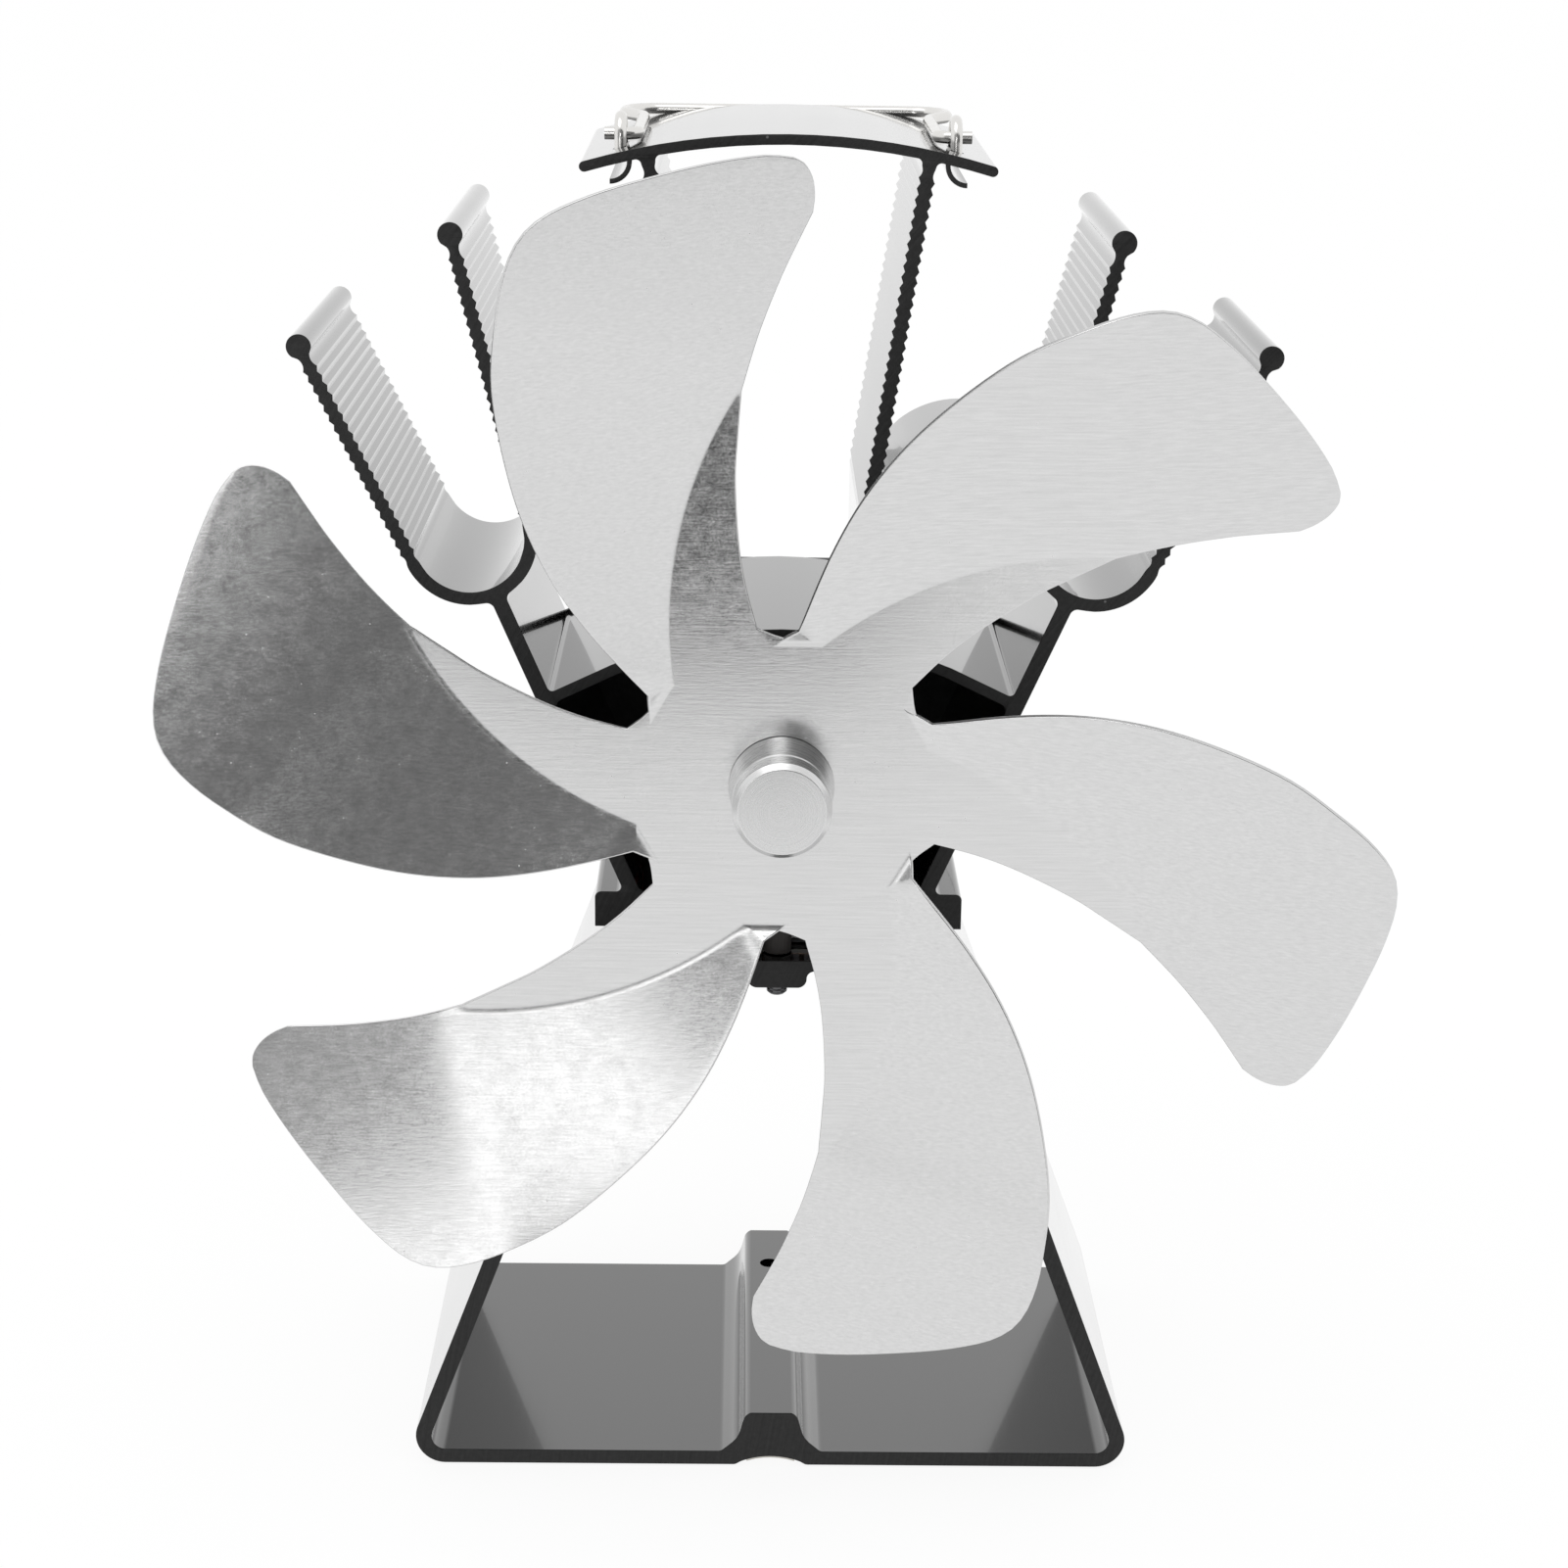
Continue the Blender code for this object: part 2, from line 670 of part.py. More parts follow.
def base_outline():
    """Outer outline, with the shallow recess under the ridge."""
    radius = recess_radius()
    spread = math.degrees(math.asin(RECESS_HALF / radius))
    recess = arc((0, RECESS_RISE - radius), radius, 90 + spread, 90 - spread, spread / 4)
    sides = [
        (BASE_TOP_HALF, BASE_HEIGHT, BASE_CORNER),
        (-BASE_TOP_HALF, BASE_HEIGHT, BASE_CORNER),
        (-BASE_FOOT_HALF, 0, FOOT_RADIUS),
        *[(x, z, 0) for x, z in recess],
        (BASE_FOOT_HALF, 0, FOOT_RADIUS),
    ]
    return rounded(sides)


def base_opening():
    """Inner outline, with the screw boss above and the ridge below."""
    under = BASE_HEIGHT - BASE_TOP_WALL
    floor = BASE_FLOOR_WALL
    bevel_x = RIDGE_TOP_HALF + RIDGE_BEVEL
    shoulder_x = bevel_x + RIDGE_FLANK
    half = [
        (BOSS_HALF, under - BOSS_DROP, BOSS_RADIUS),
        (BOSS_HALF, under, BASE_INNER_CORNER),
        (leg_x(under) - BASE_WALL, under, BASE_INNER_CORNER),
        (leg_x(floor) - BASE_WALL, floor, FOOT_INNER_RADIUS),
        (shoulder_x + RIDGE_SPREAD, floor, BASE_INNER_CORNER),
        (shoulder_x, RIDGE_SHOULDER, 0),
        (bevel_x, RIDGE_HEIGHT - RIDGE_BEVEL, 0),
        (RIDGE_TOP_HALF, RIDGE_HEIGHT, 0),
    ]
    return rounded(half + [(-x, z, radius) for x, z, radius in reversed(half)])


BASE = extrusion("base_extrusion", [base_outline(), base_opening()], 0, BASE_DEPTH, BLACK_ANODISED, FRAME)
for place_name, place_y in CLAMP_PLACES.items():
    cut(BASE, rod_cutter("cut_base_clamp_" + place_name, CLAMP_HOLE,
                         BASE_HEIGHT - BASE_TOP_WALL - BOSS_DROP - OVERRUN, BASE_HEIGHT + OVERRUN,
                         (0, place_y, 0), parent=FRAME))
cut(BASE, rod_cutter("cut_base_rivet", RIVET_RADIUS + RIVET_HOLE_CLEARANCE, -OVERRUN,
                     RIDGE_HEIGHT + OVERRUN, (0, BASE_DEPTH - RIVET_INSET, 0), parent=FRAME))


# Bimetal strip in the recess
def strip_outline():
    """Section that follows the recess's roof."""
    centre = (0, RECESS_RISE - recess_radius())
    top = recess_radius(GAP)
    low = recess_radius(GAP + STRIP_WALL)
    spread = math.degrees(math.asin(STRIP_HALF / top))
    return arc(centre, top, 90 + spread, 90 - spread, spread / 3) + arc(
        centre, low, 90 - spread, 90 + spread, spread / 3)


STRIP = extrusion("bimetal_strip", [strip_outline()], STRIP_END_INSET, BASE_DEPTH - STRIP_END_INSET, BIMETAL, FRAME)
cut(STRIP, rod_cutter("cut_strip_rivet", RIVET_RADIUS + GAP, -OVERRUN, RECESS_RISE + OVERRUN,
                      (0, BASE_DEPTH - RIVET_INSET, 0), parent=FRAME))
STRIP_UNDER_RADIUS = recess_radius(GAP + STRIP_WALL)
STRIP_UNDER = RECESS_RISE - recess_radius() + math.sqrt(STRIP_UNDER_RADIUS**2 - RIVET_HEAD_RADIUS**2)
RIVET_TOP = STRIP_UNDER - GAP
add("strip_rivet", turned([(0, RIVET_TOP + RIVET_LENGTH), (RIVET_RADIUS, RIVET_TOP + RIVET_LENGTH),
                           (RIVET_RADIUS, RIVET_TOP), (RIVET_HEAD_RADIUS, RIVET_TOP),
                           (RIVET_HEAD_RADIUS, RIVET_TOP - RIVET_HEAD), (0, RIVET_TOP - RIVET_HEAD)],
                          False, SMALL_STEPS),
    BRIGHT_STEEL, parent=FRAME, location=(0, BASE_DEPTH - RIVET_INSET, 0))


# Thermoelectric module between its pads
def stack_module():
    """Pads, ceramic plates and core, from the base up."""
    inner = MODULE_SIDE - 2 * MODULE_CORE_INSET
    layers = (
        ("module_pad_hot", PAD_WALL, MODULE_SIDE, GRAPHITE),
        ("module_plate_hot", CERAMIC_WALL, MODULE_SIDE, CERAMIC),
        ("module_core", MODULE_CORE_WALL, inner, PELLETS),
        ("module_plate_cold", CERAMIC_WALL, MODULE_SIDE, CERAMIC),
        ("module_pad_cold", PAD_WALL, MODULE_SIDE, GRAPHITE),
    )
    level = 0
    for name, wall, side, finish in layers:
        level += GAP
        block(name, finish, (side, side, wall), (0, SINK_MIDDLE_Y, level + wall / 2))
        level += wall


stack_module()


# Heat sink extrusion
def plate_z(x, radius=PLATE_RADIUS):
    """Height of the top plate's upper face, or of its under face by that radius."""
    return PLATE_CENTRE_Z + math.sqrt(radius**2 - x**2)


def fin_sides(bead, side):
    """Direction of a fin from the channel to its bead, and the angle where it leaves the channel.

    The fin's middle line touches the circle along the middle of the channel's wall, on the left
    where side is 1 and on the right where it is -1.
    """
    to_bead = Vector((bead[0] - CHANNEL_X, bead[1] - CHANNEL_Z))
    swing = math.asin(CHANNEL_RADIUS / to_bead.length)
    heading = math.atan2(to_bead.y, to_bead.x) - side * swing
    direction = (math.cos(heading), math.sin(heading))
    return direction, math.degrees(heading) + side * 90


def bead_points(bead, direction):
    """The round end of a fin, from its left side over the top to its right side."""
    half = math.degrees(math.asin(FIN_WALL / 2 / BEAD_RADIUS))
    down = math.degrees(math.atan2(direction[1], direction[0])) + 180
    return arc(bead, BEAD_RADIUS, down - half, down + half - 360, 30)


def arm_x(height, wall=0):
    """X of an arm's outer face, or of its inner face."""
    return ARM_FOOT_X - wall + ARM_LEAN * (height - ARM_FOOT_Z)


def mid_fin_line(side):
    """A point and the upward direction of a face of the fin under the top plate."""
    length = math.hypot(MID_FIN_LEAN, 1)
    shift = side * MID_FIN_WALL / 2
    point = (MID_FIN_TOP_X + shift / length, MID_FIN_TOP_Z - shift * MID_FIN_LEAN / length)
    return point, (MID_FIN_LEAN, 1)


CHANNEL = (CHANNEL_X, CHANNEL_Z)
ARCH = (ARCH_X, ARCH_Z)
ROOF = (0, ROOF_CENTRE_Z)
INNER_BEAD = (INNER_BEAD_X, INNER_BEAD_Z)
OUTER_BEAD = (OUTER_BEAD_X, OUTER_BEAD_Z)
INNER_FIN_UP, INNER_FIN_ANGLE = fin_sides(INNER_BEAD, 1)
OUTER_FIN_UP, OUTER_FIN_ANGLE = fin_sides(OUTER_BEAD, -1)
CHANNEL_OUT = CHANNEL_RADIUS + FIN_WALL / 2
CHANNEL_IN = CHANNEL_RADIUS - FIN_WALL / 2
ARM_UP = (ARM_LEAN, 1)
ROOF_TURN = math.degrees(math.atan(ROOF_SLOPE))


def plate_outline():
    """Top plate's right half with its hook, from the middle down to the fin under it."""
    middle_radius = PLATE_RADIUS - PLATE_WALL / 2
    centre = (0, PLATE_CENTRE_Z)
    end = 90 - math.degrees(math.asin((PLATE_HALF - PLATE_WALL / 2) / middle_radius))
    hook_in = HOOK_TIP_X - HOOK_RADIUS + HOOK_WALL
    hook = (HOOK_TIP_X, plate_z(hook_in, PLATE_UNDER_RADIUS))
    under_hook = math.degrees(math.acos(hook_in / PLATE_UNDER_RADIUS))
    root = HOOK_TIP_X - HOOK_RADIUS
    behind_hook = math.degrees(math.acos(root / PLATE_UNDER_RADIUS))
    point, upward = mid_fin_line(1)
    fillet = line_to_circle(point, upward, -1, centre, PLATE_UNDER_RADIUS, MID_FIN_FILLET, True, True)
    fin_side = math.degrees(math.acos(fillet[-1][0] / PLATE_UNDER_RADIUS))
    step = (90 - end) / PLATE_STEPS
    return (
        arc(centre, PLATE_RADIUS, 90, end, step)
        + arc(on_circle(centre, middle_radius, end), PLATE_WALL / 2, end, end - 180, 45)[1:-1]
        + arc(centre, PLATE_UNDER_RADIUS, end, under_hook, step)
        + arc(hook, HOOK_RADIUS - HOOK_WALL, 180, 270)[1:]
        + arc(hook, HOOK_RADIUS, 270, 180)
        + arc(centre, PLATE_UNDER_RADIUS, behind_hook, fin_side, step)[:-1]
        + list(reversed(fillet))
    )


PLATE_STEPS = 8


def wing_outline():
    """Arch, channel and side fins of the right half, from the fin under the plate to the arm."""
    point, upward = mid_fin_line(1)
    valley = line_to_circle(point, upward, -1, ARCH, ARCH_RADIUS, ARCH_FILLET, False, True)
    inner_left = on_circle(CHANNEL, CHANNEL_OUT, INNER_FIN_ANGLE)
    crook = line_to_circle(inner_left, INNER_FIN_UP, 1, ARCH, ARCH_RADIUS, FIN_FILLET, False, True)
    arm = (arm_x(ARM_FOOT_Z), ARM_FOOT_Z)
    armpit = line_to_circle(arm, ARM_UP, -1, CHANNEL, CHANNEL_OUT, ARM_FILLET, False, False)
    plate_fillet = plate_outline()[-1]
    inner_bead = bead_points(INNER_BEAD, INNER_FIN_UP)
    outer_bead = bead_points(OUTER_BEAD, OUTER_FIN_UP)
    channel = arc(CHANNEL, CHANNEL_IN, INNER_FIN_ANGLE, OUTER_FIN_ANGLE + 360)
    channel_under = short_arc(CHANNEL, on_circle(CHANNEL, CHANNEL_OUT, OUTER_FIN_ANGLE), armpit[-1])
    return (
        serrated(plate_fillet, valley[0], 1)
        + valley
        + short_arc(ARCH, valley[-1], crook[-1])[1:-1]
        + list(reversed(crook))
        + serrated(crook[0], inner_bead[0], 1)
        + inner_bead
        + serrated(inner_bead[-1], channel[0], 1)
        + channel
        + serrated(channel[-1], outer_bead[0], 1)
        + outer_bead
        + serrated(outer_bead[-1], channel_under[0], 1)
        + channel_under[:-1]
        + list(reversed(armpit))
    )


def foot_outline():
    """Waist and flange of the right half, down to the middle of the underside."""
    waist = (arm_x(FLANGE_TOP), FLANGE_TOP)
    shoulder = (FLANGE_HALF, FLANGE_TOP)
    toe = (FLANGE_HALF, SINK_BOTTOM)
    above = (arm_x(ROOF_TOP), ROOF_TOP)
    return (
        round_corner(above, waist, shoulder, WAIST_RADIUS)
        + round_corner(waist, shoulder, toe, FLANGE_CORNER)
        + [toe]
    )


def core_opening():
    """The tall opening between the two fins, over the crown of the roof."""
    point, upward = mid_fin_line(-1)
    centre = (0, PLATE_CENTRE_Z)
    fillet = line_to_circle(point, upward, 1, centre, PLATE_UNDER_RADIUS, MID_FIN_FILLET, True, True)
    side = math.degrees(math.acos(fillet[-1][0] / PLATE_UNDER_RADIUS))
    knee = (CORE_HALF, point[1] - (point[0] - CORE_HALF) / MID_FIN_LEAN)
    roof_side = math.degrees(math.acos(CORE_HALF / ROOF_RADIUS))
    half = (
        arc(centre, PLATE_UNDER_RADIUS, 90, side, (90 - side) / 5)[:-1]
        + list(reversed(fillet))
        + serrated(fillet[0], knee, -1)
        + [knee]
        + arc(ROOF, ROOF_RADIUS, roof_side, 90)
    )
    return [(x, z) for x, z in half] + [(-x, z) for x, z in reversed(half[1:-1])]


def cell_opening():
    """The cell under the arch, of the right half."""
    arch_in = ARCH_RADIUS - ARCH_WALL
    wall_x = CORE_HALF + CORE_WALL
    turn_point = on_circle(ARCH, arch_in, ARCH_TURN)
    heading = math.radians(ARCH_TURN + 90)
    corner_z = turn_point[1] + (wall_x - turn_point[0]) * math.tan(heading)
    roof_side = math.degrees(math.acos(wall_x / ROOF_RADIUS))
    foot = on_circle(ROOF, ROOF_RADIUS, roof_side)
    bend = round_corner(foot, (wall_x, corner_z), turn_point, ARCH_BLEND)
    inner_left = on_circle(CHANNEL, CHANNEL_OUT, INNER_FIN_ANGLE)
    crook = line_to_circle(inner_left, INNER_FIN_UP, 1, ARCH, arch_in, FIN_FILLET, True, True)
    arm = (arm_x(ARM_FOOT_Z, ARM_WALL), ARM_FOOT_Z)
    armpit = line_to_circle(arm, ARM_UP, 1, CHANNEL, CHANNEL_OUT, ARM_FILLET, False, False)
    turn = on_circle(ROOF, ROOF_RADIUS, 90 - ROOF_TURN)
    corner = roof_corner(turn)
    return (
        [foot]
        + bend
        + short_arc(ARCH, turn_point, crook[-1])[:-1]
        + list(reversed(crook))
        + short_arc(CHANNEL, inner_left, armpit[-1])[:-1]
        + list(reversed(armpit))
        + round_corner(armpit[0], corner, turn, MID_FIN_FILLET)
        + arc(ROOF, ROOF_RADIUS, 90 - ROOF_TURN, roof_side)[:-1]
    )


def roof_corner(turn):
    """Where a straight flank of the roof, from its turn, meets the arm's inner face."""
    base_x = arm_x(turn[1], ARM_WALL)
    drop = (base_x - turn[0]) / (1 / ROOF_SLOPE + ARM_LEAN)
    return (turn[0] + drop / ROOF_SLOPE, turn[1] - drop)


def chamber_opening():
    """The motor chamber between the arms."""
    under = ROOF_RADIUS - ROOF_WALL
    turn = on_circle(ROOF, under, 90 - ROOF_TURN)
    corner = roof_corner(turn)
    foot = (arm_x(FLANGE_TOP, ARM_WALL), FLANGE_TOP)
    half = (
        arc(ROOF, under, 90, 90 - ROOF_TURN)
        + round_corner(turn, corner, foot, CHAMBER_CORNER)
        + round_corner(corner, foot, (0, FLANGE_TOP), CHAMBER_FOOT_RADIUS)
    )
    return half + [(-x, z) for x, z in reversed(half[1:])]


def sink_outlines():
    """All outlines of the heat sink's section."""
    cell = cell_opening()
    return [
        mirrored(plate_outline() + wing_outline() + foot_outline()),
        core_opening(),
        chamber_opening(),
        cell,
        [(-x, z) for x, z in reversed(cell)],
    ]


SINK = extrusion("heat_sink_extrusion", sink_outlines(), 0, SINK_DEPTH, BLACK_ANODISED)


# Clamp screws, each with an insulating bush and a spring washer on the chamber's floor
BUSH_TOP = FLANGE_TOP + GAP + BUSH_SHOULDER
WASHER_LOW = BUSH_TOP + GAP
HEAD_LOW = WASHER_LOW + WASHER_WALL + GAP
CLAMP_END = -BASE_TOP_WALL - BOSS_DROP - CLAMP_STUB
CLAMP_PROFILE = [
    (0, HEAD_LOW + CLAMP_HEAD - CLAMP_SOCKET_DEPTH),
    (CLAMP_SOCKET_RADIUS, HEAD_LOW + CLAMP_HEAD - CLAMP_SOCKET_DEPTH),
    (CLAMP_SOCKET_RADIUS, HEAD_LOW + CLAMP_HEAD),
    (CLAMP_HEAD_RADIUS, HEAD_LOW + CLAMP_HEAD),
    (CLAMP_HEAD_RADIUS, HEAD_LOW),
    (CLAMP_RADIUS, HEAD_LOW),
    (CLAMP_RADIUS, CLAMP_END + CLAMP_CHAMFER),
    (CLAMP_RADIUS - CLAMP_CHAMFER, CLAMP_END),
    (0, CLAMP_END),
]
BUSH_PROFILE = [
    (CLAMP_HOLE, BUSH_TOP),
    (BUSH_SHOULDER_RADIUS, BUSH_TOP),
    (BUSH_SHOULDER_RADIUS, FLANGE_TOP + GAP),
    (BUSH_RADIUS, FLANGE_TOP + GAP),
    (BUSH_RADIUS, GAP),
    (CLAMP_HOLE, GAP),
]
for place_name, place_y in CLAMP_PLACES.items():
    here = (0, place_y, 0)
    cut(SINK, rod_cutter("cut_sink_clamp_" + place_name, BUSH_RADIUS + GAP, SINK_BOTTOM - OVERRUN,
                         FLANGE_TOP + OVERRUN, here))
    add("clamp_screw_" + place_name, turned(CLAMP_PROFILE, False, SMALL_STEPS), BRIGHT_STEEL, location=here)
    add("clamp_bush_" + place_name, turned(BUSH_PROFILE, True, SMALL_STEPS), POLYMER, location=here)
    add("clamp_washer_" + place_name, ring(CLAMP_HOLE, WASHER_RADIUS, WASHER_LOW, WASHER_LOW + WASHER_WALL),
        BRIGHT_STEEL, location=here)


# Screws with a low head, their head's underside at local Z = 0
def screw_mesh(length):
    """A pan-head screw."""
    chamfer = SCREW_HEAD / 4
    return turned([
        (0, SCREW_HEAD), (SCREW_HEAD_RADIUS - chamfer, SCREW_HEAD),
        (SCREW_HEAD_RADIUS, SCREW_HEAD - chamfer), (SCREW_HEAD_RADIUS, 0), (SCREW_RADIUS, 0),
        (SCREW_RADIUS, -length), (0, -length),
    ], False, SMALL_STEPS)


# Motor bracket: an upright plate with two feet on the chamber's floor
def bracket_profile():
    """Side view in Y and Z, from the upright's top down and along the foot."""
    low = FLANGE_TOP + GAP
    top = HUB_Z + BRACKET_ABOVE_AXIS
    back = BRACKET_INSET + BRACKET_WALL
    return rounded([
        (BRACKET_INSET, top, 0),
        (BRACKET_INSET, low, BRACKET_WALL),
        (BRACKET_INSET + BRACKET_FOOT, low, 0),
        (BRACKET_INSET + BRACKET_FOOT, low + BRACKET_WALL, 0),
        (back, low + BRACKET_WALL, 0),
        (back, top, 0),
    ])


BRACKET = add("motor_bracket", slab([bracket_profile()], 2 * BRACKET_HALF), BLACK_STEEL, rotation=AXIS_ACROSS)
cut(BRACKET, box_cutter(
    "cut_bracket_notch",
    (2 * BRACKET_NOTCH_HALF, 2 * (BRACKET_FOOT + OVERRUN), 2 * BRACKET_NOTCH_HEIGHT),
    (0, BRACKET_INSET, FLANGE_TOP)))
cut(BRACKET, rod_cutter("cut_bracket_bearing", BEARING_FLANGE_RADIUS, -OVERRUN, OVERRUN,
                        (0, BRACKET_INSET + BRACKET_WALL / 2, HUB_Z), AXIS_TO_FRONT))
SIDES = {"left": -1, "right": 1}
FOOT_SCREW_Y = BRACKET_INSET + (BRACKET_FOOT + BRACKET_WALL) / 2
for side_name, side in SIDES.items():
    x = side * MOTOR_SCREW_OFFSET
    cut(BRACKET, rod_cutter("cut_bracket_motor_screw_" + side_name, SCREW_HOLE, -OVERRUN, OVERRUN,
                            (x, BRACKET_INSET + BRACKET_WALL / 2, HUB_Z), AXIS_TO_FRONT))
    add("motor_screw_" + side_name, screw_mesh(MOTOR_SCREW_LENGTH), BRIGHT_STEEL,
        location=(x, BRACKET_INSET - GAP, HUB_Z), rotation=AXIS_TO_FRONT)
    x = side * FOOT_SCREW_OFFSET
    foot_top = FLANGE_TOP + GAP + BRACKET_WALL
    cut(BRACKET, rod_cutter("cut_bracket_foot_screw_" + side_name, SCREW_HOLE, FLANGE_TOP - OVERRUN,
                            foot_top + OVERRUN, (x, FOOT_SCREW_Y, 0)))
    cut(SINK, rod_cutter("cut_sink_foot_screw_" + side_name, SCREW_HOLE,
                         foot_top - FOOT_SCREW_LENGTH - GAP, foot_top, (x, FOOT_SCREW_Y, 0)))
    add("bracket_screw_" + side_name, screw_mesh(FOOT_SCREW_LENGTH), BRIGHT_STEEL,
        location=(x, FOOT_SCREW_Y, foot_top + GAP))


# Motor: heights are measured forward from the can's front face
MOTOR_AT = {"location": (0, MOTOR_FRONT_Y, HUB_Z), "rotation": AXIS_TO_FRONT}
BEARING_BORE = BEARING_RADIUS + GAP
CAN_BORE = MOTOR_RADIUS - MOTOR_WALL
CAN = add("motor_can", turned([
    (BEARING_BORE, 0), (MOTOR_RADIUS - MOTOR_CHAMFER, 0), (MOTOR_RADIUS, -MOTOR_CHAMFER),
    (MOTOR_RADIUS, -MOTOR_LENGTH), (CAN_BORE, -MOTOR_LENGTH), (CAN_BORE, -MOTOR_WALL),
    (BEARING_BORE, -MOTOR_WALL),
], True), BRIGHT_STEEL, **MOTOR_AT)
for side_name, side in SIDES.items():
    cut(CAN, rod_cutter("cut_can_screw_" + side_name, SCREW_HOLE, -OVERRUN, OVERRUN,
                        (side * MOTOR_SCREW_OFFSET, MOTOR_FRONT_Y + MOTOR_WALL / 2, HUB_Z), AXIS_TO_FRONT))

add("bearing_front", turned([
    (SHAFT_BORE, 0), (BEARING_RADIUS, 0), (BEARING_RADIUS, -MOTOR_WALL - GAP),
    (BEARING_FLANGE_RADIUS, -MOTOR_WALL - GAP),
    (BEARING_FLANGE_RADIUS, -MOTOR_WALL - GAP - BEARING_FLANGE),
    (SHAFT_BORE, -MOTOR_WALL - GAP - BEARING_FLANGE),
], True, SMALL_STEPS), BRONZE, **MOTOR_AT)

CAP_FRONT = -MOTOR_LENGTH + CAP_PLUG
CAP_STEP = -MOTOR_LENGTH - GAP
CAP_BACK = CAP_STEP - CAP_WALL
add("motor_end_cap", turned([
    (BEARING_BORE, CAP_FRONT), (CAN_BORE - GAP, CAP_FRONT), (CAN_BORE - GAP, CAP_STEP),
    (MOTOR_RADIUS, CAP_STEP), (MOTOR_RADIUS, CAP_BACK), (BEARING_BORE, CAP_BACK),
], True), POLYMER, **MOTOR_AT)
add("bearing_rear", ring(SHAFT_BORE, BEARING_RADIUS, CAP_BACK, CAP_BACK + BEARING_LENGTH), BRONZE, **MOTOR_AT)


def magnet_outline(middle):
    """Arc segment against the can's wall."""
    outer = CAN_BORE - GAP
    start = middle - MAGNET_SPAN / 2
    end = middle + MAGNET_SPAN / 2
    return arc((0, 0), outer, start, end) + arc((0, 0), outer - MAGNET_WALL, end, start)


for magnet_name, magnet_middle in (("magnet_upper", 90), ("magnet_lower", 270)):
    magnet = slab([magnet_outline(magnet_middle)], MAGNET_LENGTH)
    add(magnet_name, magnet, FERRITE, rotation=AXIS_TO_FRONT,
        location=(0, MOTOR_FRONT_Y + MAGNET_START + MAGNET_LENGTH / 2, HUB_Z))

for side_name, side in SIDES.items():
    block("motor_terminal_" + side_name, TINNED, (TERMINAL_WIDTH, TERMINAL_LENGTH, TERMINAL_WALL),
          (side * TERMINAL_OFFSET, MOTOR_FRONT_Y - CAP_BACK + GAP + TERMINAL_LENGTH / 2, HUB_Z))


# Rotor: heights are measured forward from the impeller's front face
MOTOR_IN_ROTOR = -(HUB_FORWARD + MOTOR_FRONT_Y)
ARMATURE_RADIUS = CAN_BORE - GAP - MAGNET_WALL - ARMATURE_AIR_GAP
ARMATURE_FRONT = MOTOR_IN_ROTOR - MAGNET_START - ARMATURE_INSET
ARMATURE_BACK = ARMATURE_FRONT + 2 * ARMATURE_INSET - MAGNET_LENGTH
add("motor_armature", turned([
    (SHAFT_BORE, ARMATURE_FRONT), (ARMATURE_RADIUS, ARMATURE_FRONT), (ARMATURE_RADIUS, ARMATURE_BACK),
    (COMMUTATOR_RADIUS, ARMATURE_BACK), (COMMUTATOR_RADIUS, ARMATURE_BACK - COMMUTATOR_LENGTH),
    (SHAFT_BORE, ARMATURE_BACK - COMMUTATOR_LENGTH),
], True), COPPER_WOUND, parent=ROTOR, rotation=AXIS_TO_FRONT)
SHAFT_FRONT = KNOB_BORE_DEPTH - GAP
SHAFT_BACK = MOTOR_IN_ROTOR + CAP_BACK
add("motor_shaft", turned([(0, SHAFT_FRONT), (SHAFT_RADIUS, SHAFT_FRONT), (SHAFT_RADIUS, SHAFT_BACK),
                           (0, SHAFT_BACK)], False, SMALL_STEPS),
    BRIGHT_STEEL, parent=ROTOR, rotation=AXIS_TO_FRONT)

COLLAR_FRONT = -IMPELLER_WALL - GAP
COLLAR_BACK = COLLAR_FRONT - COLLAR_LENGTH
KNOB = add("hub_knob", turned([
    (0, KNOB_LENGTH), (KNOB_FRONT_RADIUS - KNOB_CHAMFER, KNOB_LENGTH),
    (KNOB_FRONT_RADIUS, KNOB_LENGTH - KNOB_CHAMFER), (KNOB_RADIUS, GAP), (SPIGOT_RADIUS, GAP),
    (SPIGOT_RADIUS, COLLAR_BACK), (SHAFT_BORE, COLLAR_BACK), (SHAFT_BORE, KNOB_BORE_DEPTH),
    (0, KNOB_BORE_DEPTH),
], False), TURNED_ALUMINIUM, parent=ROTOR, rotation=AXIS_TO_FRONT)
COLLAR = add("hub_collar", ring(SPIGOT_RADIUS + GAP, COLLAR_RADIUS, COLLAR_BACK, COLLAR_FRONT, ROUND_STEPS),
             TURNED_ALUMINIUM, parent=ROTOR, rotation=AXIS_TO_FRONT)
SET_SCREW_Y = -(COLLAR_FRONT + COLLAR_BACK) / 2
for body_name, body in (("knob", KNOB), ("collar", COLLAR)):
    cut(body, rod_cutter("cut_" + body_name + "_set_screw", SET_SCREW_RADIUS + GAP, SHAFT_RADIUS,
                         COLLAR_RADIUS + OVERRUN, (0, SET_SCREW_Y, 0), parent=ROTOR))
SET_SCREW_LOW = SHAFT_RADIUS + GAP
add("hub_set_screw", turned([(0, COLLAR_RADIUS), (SET_SCREW_RADIUS, COLLAR_RADIUS),
                             (SET_SCREW_RADIUS, SET_SCREW_LOW), (0, SET_SCREW_LOW)], False, SMALL_STEPS),
    BLACK_STEEL, parent=ROTOR, location=(0, SET_SCREW_Y, 0))


